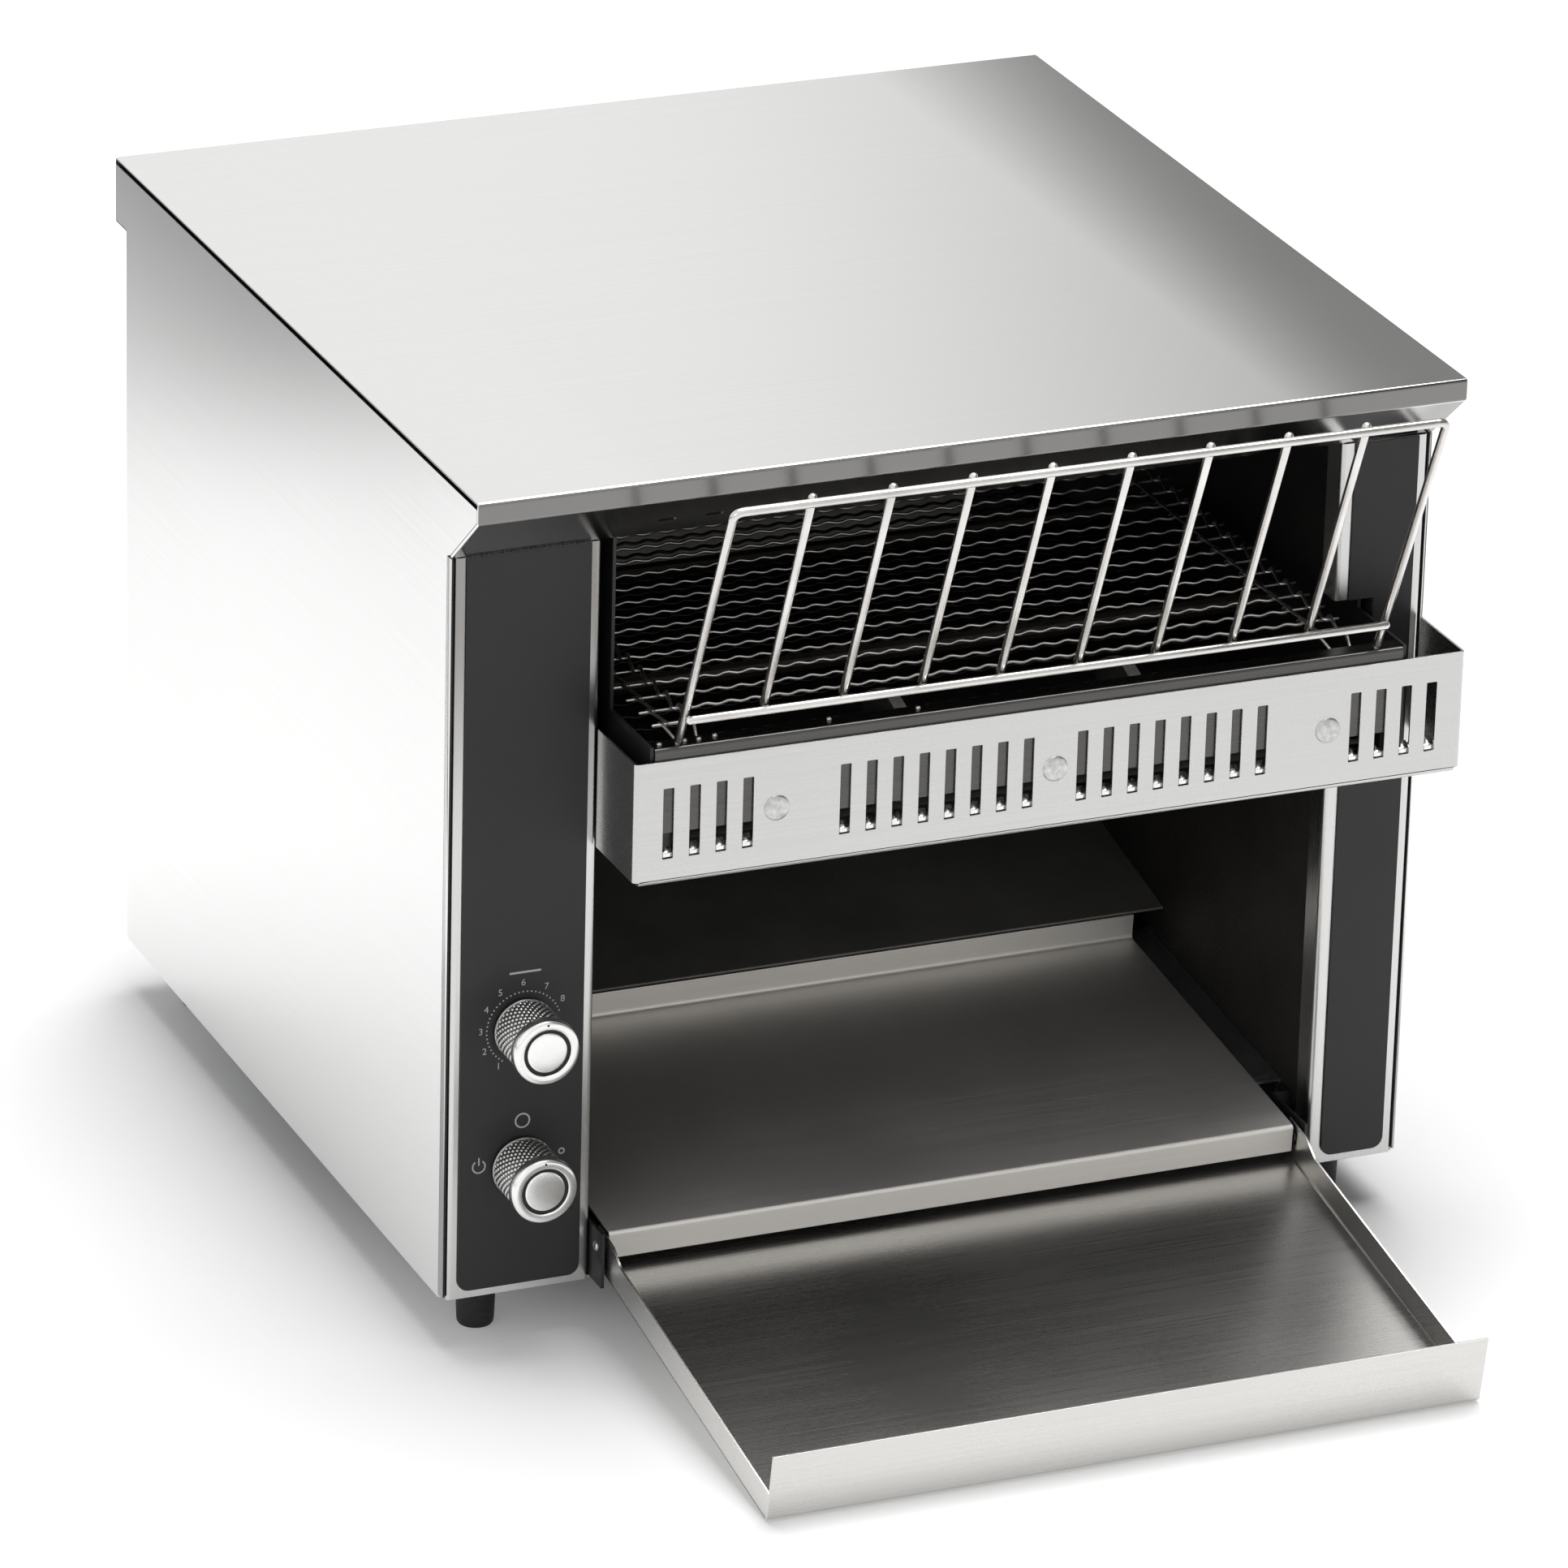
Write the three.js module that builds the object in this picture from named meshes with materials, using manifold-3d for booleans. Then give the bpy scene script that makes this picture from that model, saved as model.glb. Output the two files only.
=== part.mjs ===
// Conveyor bun toaster for a counter. A wire belt carries cut buns between two rows of
// heaters and drops them on a chute, which brings them back to a shelf and a tray in front.
// Lengths are in millimetres. X runs to the right, Y to the back and Z up.
// The body's own frame has x = 0 midway across, y = 0 at the hood's nose and z = 0 under
// the base; the finished object stands on z = 0 with its origin in the middle of its box.

import * as THREE from "three";
import { mergeVertices } from "three/addons/utils/BufferGeometryUtils.js";
import Module from "manifold-3d";

const wasm = await Module();
wasm.setup();

// Sheets, fits and cuts
const sheet = 1.2;
const plate = 1.5;
const fit = 0.3;
const overrun = 3;
const bendRadius = 2;
const mergeDistance = 0.0001;
const roundSides = 16;
const smallSides = 12;
const fewSides = 8;

// Housing
const bodyWidth = 470;
const bodyHeight = 391.6;
const hoodDepth = 471.7;
const noseFace = 10;
const noseChamfer = 26.6;
const fasciaSetback = 31.3;
const hoodFlange = 14;
const rearLipHeight = 32.6;
const rearLipDepth = 15.7;
const rearPanelRise = 11;
const hemHeight = 1.2;
const hemSeam = 2.3;
const sideFlange = 8;
const baseFlange = 13;

// Oblong holes in the hood's chamfer, a pair near each end
const keyholeLength = 9;
const keyholeWidth = 4;
const keyholeInset = 95;
const keyholePitch = 22;

// Feet
const footHeight = 25.4;
const footTopRadius = 10;
const footBottomRadius = 8.5;
const footInset = 26;
const footFrontY = 57;
const footRearInset = 46.7;

// Columns beside the opening
const columnEdgeGap = 2;
const leftColumnWidth = 68;
const rightColumnWidth = 43;
const columnReturn = 14;
const columnTopGap = 0.5;
const columnRadius = 5;
const notchBelow = 5;
const notchAbove = 6.5;
const sealDepth = 4.5;
const sealSetback = 0.2;
const overlay = 0.8;
const overlayRim = 5;
const overlayRightRim = 6.5;
const overlayBottom = 3.8;
const overlayRadius = 5.5;

// Conveyor frame
const conveyorBehind = 15.5;
const conveyorSideGap = 7;
const armBottom = 210;
const armTop = 272.5;
const armFlange = 9;
const frameTopGap = 17.6;
const frameFront = 36;
const frameBeyond = 32.2;
const spacerRadius = 6;
const spacerLow = 232;
const spacerDrop = 34;
const spacerRows = 3;

// Belt and sprockets
const beltPitch = 15.24;
const beltWire = 2;
const beltInset = 10.5;
const dropSpace = 100;
const sprocketTeeth = 10;
const hookInset = 12;
const hookBase = 4;
const hookTip = 7.5;
const hookRise = 2;
const hookLead = 0.8;
const hookReach = 4;
const hookDip = 1.65;
const hookWeld = 0.8;
const wireSides = 3;
const idlerY = 17.5;
const shaftZ = 245.4;
const sprocketWidth = 6;
const toothRise = 1.3;
const gulletHalf = 1.45;

// Shafts and bushes
const journalRadius = 6;
const hexRadius = 8;
const bushWall = 3;
const bushFlangeRadius = 12;
const bushFlange = 2.5;
const bushProud = 1;
const shaftEnd = 2;

// Heaters and reflectors
const heaterRadius = 4;
const heaterPinRadius = 2;
const heaterPin = 9;
const heaterStub = 5;
const upperHeaterDrop = 40.6;
const upperHeaterFirst = 100;
const upperHeaterRear = 72.8;
const upperHeaters = 3;
const lowerHeaterFirst = 120;
const lowerHeaterRear = 107.8;
const lowerHeaters = 2;
const heaterHoleGap = 0.6;
const reflectorTopGap = 5;
const reflectorFront = 60;
const reflectorRearGap = 25;
const reflectorDrop = 20;
const underpanTop = 214;
const underpanFront = 27;
const underpanRearGap = 67;
const underpanFlange = 4;

// Feed guard, its screws and the apron behind it
const guardFront = 14;
const guardSideGap = 1;
const guardOverhang = 1;
const guardBottom = 208.5;
const guardHeight = 58;
const guardLedge = 36;
const slotWidth = 5;
const slotPitch = 12.5;
const slotBottom = 12;
const slotHeight = 33.2;
const innerSlotFirst = 13;
const innerSlotScrewGap = 30;
const outerSlotInset = 16;
const outerSlots = 4;
const outerSlotScrewGap = 13.5;
const guardScrewZ = 29;
const screwHeadRadius = 6;
const screwHead = 0.9;
const screwDomeShare = 0.7;
const screwRadius = 2;
const screwLength = 6;
const apron = 1;
const apronEndGap = 1.8;
const apronBottom = 232;
const apronTop = 272;
const apronLedge = 9.5;
const apronRadius = 1.5;

// Loading rack
const rackRod = 4;
const rackRodPitch = 37.3;
const rackEndGap = 13.75;
const rackLeanDegrees = 24;
const rackHeight = 143;
const rackBarHeight = 16.5;
const rackNub = 3.5;
const rackWeld = 0.5;
const rackCornerRadius = 6;
const rackSides = 8;
const spigotRadius = 1.4;
const spigotLength = 9.5;
const spigotSetback = 2.5;

// Walls of the discharge space and the chute
const chuteRearGap = 20;
const chuteTopGap = 61.6;
const chuteKneeZ = 190;
const chuteBendGap = 38;
const chuteBendZ = 130;
const chuteRampGap = 116;
const chuteRampZ = 90;
const chuteOverShelf = 4;
const chuteEndZ = 61;
const chuteRadius = 30;
const chuteSteps = 3;
const chuteSideGap = 0.4;
const jogHeight = 203;
const wallRearGap = 4;
const wallTopGap = 11.6;
const wallStepDrop = 2;
const upperWallGap = 3.5;

// Discharge shelf and its rails
const shelfLeftGap = 5.5;
const shelfRightGap = 12.5;
const shelfFrontY = 21;
const shelfFrontZ = 26.3;
const shelfLip = 13.5;
const shelfDepth = 181;
const shelfSlopeDegrees = 6;
const shelfUpstand = 9;
const railWidth = 10;
const railHeight = 14;
const railFrontY = 64;
const railLength = 148;

// Collection tray and its brackets
const trayPinY = 23;
const trayPinZ = 20;
const traySlopeDegrees = 9.4;
const trayGap = 1.3;
const trayLength = 198.2;
const trayFloorDrop = 12.6;
const trayWall = 14;
const trayLip = 34;
const trayTail = 7;
const earLength = 22;
const earRise = 6;
const pinRadius = 2.5;
const pinSlotGap = 0.4;
const bracketGap = 1.2;
const bracketFront = 6;
const bracketRear = 55;
const bracketTop = 8;
const bracketFoot = 8;

// Knobs and what stands behind them
const knobShift = 0.7;
const speedKnobZ = 128.4;
const selectorKnobZ = 61.4;
const knobRadius = 14.5;
const knobBarrel = 22;
const knobGap = 0.9;
const knobFlutes = 20;
const fluteDepth = 0.8;
const capRadius = 16;
const capDepth = 6;
const capRecess = 1.6;
const capRim = 3.4;
const pointerWidth = 1.6;
const pointerLength = 3;
const pointerRise = 0.8;
const spindleRadius = 3;
const spindleReach = 12;
const controlBushRadius = 5;
const potRadius = 12;
const potDepth = 14;
const switchSide = 30;
const switchDepth = 34;

// Gearbox, motor, fan and gland
const gearboxWidth = 34;
const gearboxDepth = 62;
const gearboxHeight = 56;
const gearboxCorner = 8;
const shaftInGearbox = 16;
const motorRadius = 26;
const motorLength = 92;
const motorNeck = 5;
const motorNeckRadius = 19;
const motorBevel = 4;
const fanSide = 50;
const fanDepth = 22;
const fanBore = 23;
const fanHub = 9;
const fanBoss = 6;
const fanAxleRadius = 2;
const fanBlades = 7;
const fanBlade = 1.4;
const fanBladeTurn = 0.55;
const fanTipGap = 1;
const fanStrut = 4;
const fanDrop = 91.6;
const fanSlots = 7;
const fanSlotPitch = 6.3;
const fanSlotWidth = 4;
const ventRows = 2;
const ventColumns = 9;
const ventWidth = 5;
const ventHeight = 30;
const ventPitch = 18;
const ventRowPitch = 44;
const ventDrop = 56.6;
const glandZ = 42;
const glandRadius = 11;
const glandBore = 4.5;
const glandNut = 5;
const glandDome = 7;
const glandThroat = 8;

// Places that several pieces share
const halfWidth = bodyWidth / 2;
const noseBottom = bodyHeight - noseFace;
const hoodBottom = noseBottom - noseChamfer;
const rearFace = hoodDepth - rearLipDepth;
const rearLipBottom = bodyHeight - rearLipHeight;
const panelInner = halfWidth - sheet - fit;
const leftColumnOuter = -halfWidth + columnEdgeGap;
const openLeft = leftColumnOuter + leftColumnWidth;
const rightColumnOuter = halfWidth - columnEdgeGap;
const openRight = rightColumnOuter - rightColumnWidth;
const columnTop = hoodBottom - columnTopGap;
const columnBack = fasciaSetback + sheet;
const conveyorLeft = openLeft + conveyorSideGap;
const conveyorRight = openRight + conveyorBehind;
const conveyorMiddle = (conveyorLeft + conveyorRight) / 2;
const frameLeftInner = conveyorLeft + plate;
const frameRightInner = conveyorRight - plate;
const leftWallFace = openLeft - sheet - fit;
const rightWallFace = openRight + sheet + fit;
const rightUpperFace = conveyorRight + upperWallGap;
const sprocketRadius = beltPitch / (2 * Math.sin(Math.PI / sprocketTeeth));
const beltSpans = Math.floor((rearFace - dropSpace - idlerY) / beltPitch);
const driveY = idlerY + beltSpans * beltPitch;
const frameRear = driveY + frameBeyond;
const frameTop = bodyHeight - frameTopGap;
const spacerHigh = frameTop - spacerDrop;
const upperHeaterZ = bodyHeight - upperHeaterDrop;
const reflectorTop = frameTop - reflectorTopGap;
const reflectorRear = frameRear - reflectorRearGap;
const underpanRear = frameRear - underpanRearGap;
const wallRear = rearFace - wallRearGap;
const wallTop = bodyHeight - wallTopGap;
const beltLeft = frameLeftInner + beltInset;
const beltRight = frameRightInner - beltInset;
const beltWidth = beltRight - beltLeft;
const wireRadius = beltWire / 2;
const bushRadius = journalRadius + fit + bushWall;
const guardFace = -guardFront;
const guardLeft = openLeft - guardOverhang;
const guardRight = halfWidth - guardSideGap;
const guardMiddle = (guardLeft + guardRight) / 2;
const outerSlotLast = guardRight - guardMiddle - outerSlotInset;
const outerSlotFirst = outerSlotLast - (outerSlots - 1) * slotPitch;
const guardScrewSpread = outerSlotFirst - outerSlotScrewGap;
const innerSlotReach = guardScrewSpread - innerSlotScrewGap - innerSlotFirst;
const innerSlots = Math.floor(innerSlotReach / slotPitch) + 1;
const guardTop = guardBottom + guardHeight;
const guardBack = fasciaSetback - fit - overlay - fit;
const guardScrewHeight = guardBottom + guardScrewZ;
const guardScrewXs = [
  guardMiddle - guardScrewSpread,
  guardMiddle,
  guardMiddle + guardScrewSpread,
];
const apronFace = guardFace + sheet + fit;
const apronBack = apronFace + apron;
const armFront = apronBack + fit;
const armFlangeTop = apronTop - apron - fit;
const rackHalfWidth = (conveyorRight - conveyorLeft) / 2 - rackEndGap;
const rackInnerRods = Math.round((2 * rackHalfWidth) / rackRodPitch) - 1;
const rackLean = THREE.MathUtils.degToRad(rackLeanDegrees);
const rackFootY = apronBack + spigotSetback;
const rackFootZ = apronTop + fit + (rackRod / 2) * Math.sin(rackLean);
const shelfSlope = THREE.MathUtils.degToRad(shelfSlopeDegrees);
const shelfLeft = openLeft + shelfLeftGap;
const shelfRight = openRight - shelfRightGap;
const shelfRearY = shelfFrontY + shelfDepth * Math.cos(shelfSlope);
const trayLeft = shelfLeft - trayGap - sheet;
const trayRight = shelfRight + trayGap + sheet;
const traySlope = THREE.MathUtils.degToRad(traySlopeDegrees);
const trayFloor = -trayFloorDrop;
const leftKnobX = (leftColumnOuter + openLeft) / 2 + knobShift;
const knobBack = fasciaSetback - fit - overlay - knobGap;
const compartmentX = (-panelInner + leftWallFace - sheet) / 2;
const fanZ = bodyHeight - fanDrop;
const ventTopZ = bodyHeight - ventDrop;
const trayFrontY =
  trayPinY - trayLength * Math.cos(traySlope) - (trayLip + trayFloor) * Math.sin(traySlope);

// Finishes
function finish(color, roughness, metalness) {
  return new THREE.MeshStandardMaterial({ color, roughness, metalness, flatShading: true });
}
const stainless = finish(0xc9c9c7, 0.32, 1);
const galvanised = finish(0xa9acad, 0.5, 0.9);
const darkSteel = finish(0x5a5856, 0.4, 0.9);
const blackPaint = finish(0x1c1c1d, 0.55, 0.2);
const overlayFilm = finish(0x2b2a2b, 0.45, 0);
const chrome = finish(0xd6d6d6, 0.15, 1);
const wireSteel = finish(0xb9b6b0, 0.3, 1);
const satinSilver = finish(0xb8b8b8, 0.35, 0.8);
const rubber = finish(0x151515, 0.9, 0);
const bronze = finish(0x9a7a4a, 0.45, 0.9);
const heaterSheath = finish(0x6d6258, 0.6, 0.7);
const castAluminium = finish(0x8e9092, 0.55, 0.8);
const blackPlastic = finish(0x202022, 0.5, 0);

// Solids: a closed geometry becomes a solid that can be joined and cut
function solidOf(shape) {
  if (shape instanceof wasm.Manifold) return shape;
  const bare = shape.index ? shape.toNonIndexed() : shape.clone();
  bare.deleteAttribute("normal");
  bare.deleteAttribute("uv");
  const merged = mergeVertices(bare, mergeDistance);
  const corners = [];
  const index = merged.index.array;
  for (let i = 0; i < index.length; i += 3) {
    const [a, b, c] = [index[i], index[i + 1], index[i + 2]];
    if (a !== b && b !== c && c !== a) corners.push(a, b, c);
  }
  const meshOf = (triVerts) =>
    new wasm.Mesh({
      numProp: 3,
      vertProperties: new Float32Array(merged.attributes.position.array),
      triVerts: new Uint32Array(triVerts),
    });
  const made = new wasm.Manifold(meshOf(corners));
  if (made.volume() > 0) return made;
  return new wasm.Manifold(meshOf(corners.reverse()));
}

function geometryOf(solid) {
  const mesh = solid.getMesh();
  const geometry = new THREE.BufferGeometry();
  geometry.setAttribute("position", new THREE.BufferAttribute(mesh.vertProperties, 3));
  geometry.setIndex(new THREE.BufferAttribute(mesh.triVerts, 1));
  const flat = geometry.toNonIndexed();
  flat.computeVertexNormals();
  return flat;
}

function joined(shapes) {
  return shapes.map(solidOf).reduce((whole, next) => whole.add(next));
}

function cut(shape, cutters) {
  return solidOf(shape).subtract(joined(cutters));
}

// Outlines, as lists of points in a plane
function circle(x, y, radius, sides, turn = 0) {
  return Array.from({ length: sides }, (_, i) => {
    const angle = turn + (2 * Math.PI * i) / sides;
    return [x + radius * Math.cos(angle), y + radius * Math.sin(angle)];
  });
}

function rectangle(x0, x1, y0, y1) {
  return [
    [x0, y0],
    [x1, y0],
    [x1, y1],
    [x0, y1],
  ];
}

// A line whose inner corners become arcs of one radius
function softened(points, radius, steps) {
  const soft = [points[0]];
  for (let i = 1; i < points.length - 1; i += 1) {
    const corner = new THREE.Vector2(...points[i]);
    const before = new THREE.Vector2(...points[i - 1]).sub(corner).normalize();
    const after = new THREE.Vector2(...points[i + 1]).sub(corner).normalize();
    const half = Math.acos(THREE.MathUtils.clamp(before.dot(after), -1, 1)) / 2;
    const reach = radius / Math.tan(half);
    const middle = before.clone().add(after).normalize().multiplyScalar(radius / Math.sin(half));
    const start = before.clone().multiplyScalar(reach).sub(middle);
    const end = after.clone().multiplyScalar(reach).sub(middle);
    const sweep = Math.atan2(start.cross(end), start.dot(end));
    for (let k = 0; k <= steps; k += 1) {
      const spoke = start.clone().rotateAround(new THREE.Vector2(), (sweep * k) / steps);
      soft.push(corner.clone().add(middle).add(spoke).toArray());
    }
  }
  soft.push(points[points.length - 1]);
  return soft;
}

// The same line moved to its right by a distance, with mitred corners
function offsetLine(points, distance) {
  const rights = points.slice(1).map((point, i) => {
    const along = new THREE.Vector2(point[0] - points[i][0], point[1] - points[i][1]).normalize();
    return new THREE.Vector2(along.y, -along.x);
  });
  return points.map((point, i) => {
    const first = rights[Math.max(i - 1, 0)];
    const second = rights[Math.min(i, rights.length - 1)];
    const push = first.clone().add(second).multiplyScalar(distance / (1 + first.dot(second)));
    return [point[0] + push.x, point[1] + push.y];
  });
}

// The outline of a folded sheet whose outer face follows the line
function folded(points, thickness) {
  return [...points, ...offsetLine(points, thickness).reverse()];
}

// A rectangle with its two lower corners round
function roundBottom(x0, x1, y0, y1, radius) {
  return softened([[x0, y1], [x0, y0], [x1, y0], [x1, y1]], radius, 3);
}

// Extrusions along each axis
const alongXBasis = new THREE.Matrix4().makeBasis(
  new THREE.Vector3(0, 1, 0),
  new THREE.Vector3(0, 0, 1),
  new THREE.Vector3(1, 0, 0),
);
const alongYBasis = new THREE.Matrix4().makeBasis(
  new THREE.Vector3(1, 0, 0),
  new THREE.Vector3(0, 0, 1),
  new THREE.Vector3(0, -1, 0),
);

function extruded(points, depth, holes) {
  const path = (line) => line.map((point) => new THREE.Vector2(...point));
  const shape = new THREE.Shape(path(points));
  holes.forEach((hole) => shape.holes.push(new THREE.Path(path(hole))));
  return new THREE.ExtrudeGeometry(shape, { depth, steps: 1, bevelEnabled: false });
}

function alongX(points, x0, x1, holes = []) {
  return extruded(points, x1 - x0, holes).applyMatrix4(alongXBasis).translate(x0, 0, 0);
}

function alongY(points, y0, y1, holes = []) {
  return extruded(points, y1 - y0, holes).applyMatrix4(alongYBasis).translate(0, y1, 0);
}

function alongZ(points, z0, z1, holes = []) {
  return extruded(points, z1 - z0, holes).translate(0, 0, z0);
}

function block(x0, x1, y0, y1, z0, z1) {
  return alongZ(rectangle(x0, x1, y0, y1), z0, z1);
}

// A profile of (radius, height) turned round an axis
function turned(profile, sides) {
  return new THREE.LatheGeometry(profile.map((point) => new THREE.Vector2(...point)), sides);
}

function turnedX(profile, sides, y, z) {
  return turned(profile, sides).rotateZ(-Math.PI / 2).translate(0, y, z);
}

function turnedY(profile, sides, x, z) {
  return turned(profile, sides).translate(x, 0, z);
}

function turnedZ(profile, sides, x, y) {
  return turned(profile, sides).rotateX(Math.PI / 2).translate(x, y, 0);
}

// A straight round bar between two points
function bar(from, to, radius, sides) {
  const start = new THREE.Vector3(...from);
  const along = new THREE.Vector3(...to).sub(start);
  const geometry = new THREE.CylinderGeometry(radius, radius, along.length(), sides);
  geometry.translate(0, along.length() / 2, 0);
  const turn = new THREE.Quaternion().setFromUnitVectors(
    new THREE.Vector3(0, 1, 0),
    along.normalize(),
  );
  return geometry.applyQuaternion(turn).translate(start.x, start.y, start.z);
}

// A wire bent along straight stretches: each ring lies in the plane that halves its corner
function bentWire(points, radius, sides, outward) {
  const stops = points.map((point) => new THREE.Vector3(...point));
  const runs = stops.slice(1).map((stop, i) => stop.clone().sub(stops[i]).normalize());
  const across = new THREE.Vector3(...outward);
  const beside = runs[0].clone().cross(across).normalize();
  const upright = beside.clone().cross(runs[0]).normalize();
  let ring = circle(0, 0, radius, sides, Math.PI / 2).map(([u, v]) =>
    stops[0].clone().addScaledVector(beside, u).addScaledVector(upright, v),
  );
  const rings = [ring];
  for (let i = 1; i < stops.length; i += 1) {
    const arriving = runs[i - 1];
    const leaving = runs[Math.min(i, runs.length - 1)];
    const facing = arriving.clone().add(leaving).normalize();
    ring = ring.map((corner) => {
      const distance = stops[i].clone().sub(corner).dot(facing) / arriving.dot(facing);
      return corner.clone().addScaledVector(arriving, distance);
    });
    rings.push(ring);
  }
  const positions = rings.flat().flatMap((corner) => corner.toArray());
  const index = [];
  for (let i = 0; i < rings.length - 1; i += 1) {
    for (let k = 0; k < sides; k += 1) {
      const a = i * sides + k;
      const b = i * sides + ((k + 1) % sides);
      index.push(a, b, b + sides, a, b + sides, a + sides);
    }
  }
  const last = (rings.length - 1) * sides;
  for (let k = 1; k < sides - 1; k += 1) {
    index.push(0, k + 1, k);
    index.push(last, last + k, last + k + 1);
  }
  const geometry = new THREE.BufferGeometry();
  geometry.setAttribute("position", new THREE.Float32BufferAttribute(positions, 3));
  geometry.setIndex(index);
  return geometry;
}

// The object, whose group carries the body's frame to the middle of the object's box
const toaster = new THREE.Group();
toaster.position.set(0, -(trayFrontY + hoodDepth) / 2, footHeight);

function addPiece(name, shape, material, parent = toaster) {
  const mesh = new THREE.Mesh(geometryOf(solidOf(shape)), material);
  mesh.name = name;
  parent.add(mesh);
}

// Base pan: a flat floor with its sides and rear turned up
addPiece(
  "base_pan",
  joined([
    block(-panelInner, panelInner, columnBack + fit, rearFace - sheet - fit, 0, sheet),
    block(-panelInner, -panelInner + sheet, fasciaSetback + columnReturn + fit,
      rearFace - sheet - fit, 0, baseFlange),
    block(panelInner - sheet, panelInner, fasciaSetback + columnReturn + fit,
      rearFace - sheet - fit, 0, baseFlange),
    block(-panelInner, panelInner, rearFace - sheet - fit - sheet, rearFace - sheet - fit,
      0, baseFlange),
  ]),
  galvanised,
);

// Feet: tapered rubber cones
[
  ["foot_front_left", -1, footFrontY],
  ["foot_front_right", 1, footFrontY],
  ["foot_rear_left", -1, hoodDepth - footRearInset],
  ["foot_rear_right", 1, hoodDepth - footRearInset],
].forEach(([name, side, y]) => {
  const profile = [[0, -footHeight], [footBottomRadius, -footHeight], [footTopRadius, -fit], [0, -fit]];
  addPiece(name, turnedZ(profile, roundSides, side * (halfWidth - footInset), y), rubber);
});

// Top cover: one sheet folded over nose, top and rear lip, with hems down its two sides
const hoodLine = [
  [fasciaSetback, hoodBottom],
  [0, noseBottom],
  [0, bodyHeight],
  [hoodDepth, bodyHeight],
  [hoodDepth, rearLipBottom],
  [rearFace + fit, rearLipBottom],
];
const chamferTurn = -Math.atan2(noseChamfer, fasciaSetback);
function keyhole(x) {
  const end = (keyholeLength - keyholeWidth) / 2;
  const right = circle(end, 0, keyholeWidth / 2, smallSides).filter(([u]) => u >= end);
  const left = circle(-end, 0, keyholeWidth / 2, smallSides).filter(([u]) => u <= -end);
  const around = [...right, ...left].sort((p, q) => Math.atan2(p[1], p[0]) - Math.atan2(q[1], q[0]));
  return alongZ(around, -overrun, overrun)
    .rotateX(chamferTurn)
    .translate(x, fasciaSetback / 2, noseBottom - noseChamfer / 2);
}
const keyholeOuter = halfWidth - keyholeInset;
const keyholes = [-1, 1].flatMap((side) =>
  [keyholeOuter - keyholePitch, keyholeOuter].map((x) => keyhole(side * x)),
);
const cover = joined([
  alongX(folded(hoodLine, sheet), -halfWidth, halfWidth),
  block(-halfWidth, -halfWidth + sheet, 0, hoodDepth, bodyHeight - hemHeight, bodyHeight),
  block(halfWidth - sheet, halfWidth, 0, hoodDepth, bodyHeight - hemHeight, bodyHeight),
  block(-panelInner, panelInner, fasciaSetback, fasciaSetback + hoodFlange,
    hoodBottom, hoodBottom + sheet),
]);
addPiece("top_cover", cut(cover, keyholes), stainless);

// Side panels: flat sheets with the hood's own outline, set just inside the cover and held
// back from the columns by the edge seals
const [chamferEnd, chamferStart, noseInside, rearInside, lipInside] =
  offsetLine(hoodLine, sheet + fit);
const sideTop = bodyHeight - hemHeight - hemSeam;
const sealFront = fasciaSetback + sealSetback;
const sideFront = sealFront + sealDepth + fit;
const sideOutline = [
  [sideFront, 0],
  [sideFront, columnTop],
  chamferEnd,
  chamferStart,
  [noseInside.at(0), sideTop],
  [rearInside.at(0), sideTop],
  lipInside,
  [rearFace, lipInside.at(-1)],
  [rearFace, 0],
];
const flangeBack = rearFace - sheet - fit;
function sidePanel(side) {
  const outer = side * halfWidth;
  const inner = side * (halfWidth - sheet);
  const tip = side * (halfWidth - sideFlange);
  return joined([
    alongX(sideOutline, Math.min(outer, inner), Math.max(outer, inner)),
    block(Math.min(outer, tip), Math.max(outer, tip), flangeBack - sheet, flangeBack,
      baseFlange + fit, rearLipBottom),
  ]);
}
addPiece("left_side_panel", sidePanel(-1), stainless);
addPiece("right_side_panel", sidePanel(1), stainless);

// Edge seals: black strips that cover the panels' front edges beside the columns
function edgeSeal(side) {
  const outer = side * halfWidth;
  const inner = side * (rightColumnOuter + fit);
  return block(Math.min(outer, inner), Math.max(outer, inner), sealFront, sealFront + sealDepth,
    sheet + fit, columnTop);
}
addPiece("left_edge_seal", edgeSeal(-1), rubber);
addPiece("right_edge_seal", edgeSeal(1), rubber);

// Rear panel: louvre slots above, a slotted grille over the fan and a hole for the gland
const ventCutters = [];
for (let row = 0; row < ventRows; row += 1) {
  for (let column = 0; column < ventColumns; column += 1) {
    const x = conveyorMiddle + (column - (ventColumns - 1) / 2) * ventPitch;
    const top = ventTopZ - row * ventRowPitch;
    ventCutters.push(block(x - ventWidth / 2, x + ventWidth / 2, rearFace - overrun,
      rearFace + overrun, top - ventHeight, top));
  }
}
for (let i = 0; i < fanSlots; i += 1) {
  const rise = (i - (fanSlots - 1) / 2) * fanSlotPitch;
  const reach = Math.sqrt(fanBore ** 2 - (Math.abs(rise) + fanSlotWidth / 2) ** 2);
  ventCutters.push(block(compartmentX - reach, compartmentX + reach, rearFace - overrun,
    rearFace + overrun, fanZ + rise - fanSlotWidth / 2, fanZ + rise + fanSlotWidth / 2));
}
const glandHole = circle(compartmentX, glandZ, glandThroat + fit, roundSides);
addPiece(
  "rear_panel",
  cut(
    alongY(rectangle(-panelInner, panelInner, sheet + fit, rearLipBottom + rearPanelRise),
      rearFace - sheet, rearFace, [glandHole]),
    ventCutters,
  ),
  stainless,
);

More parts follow.
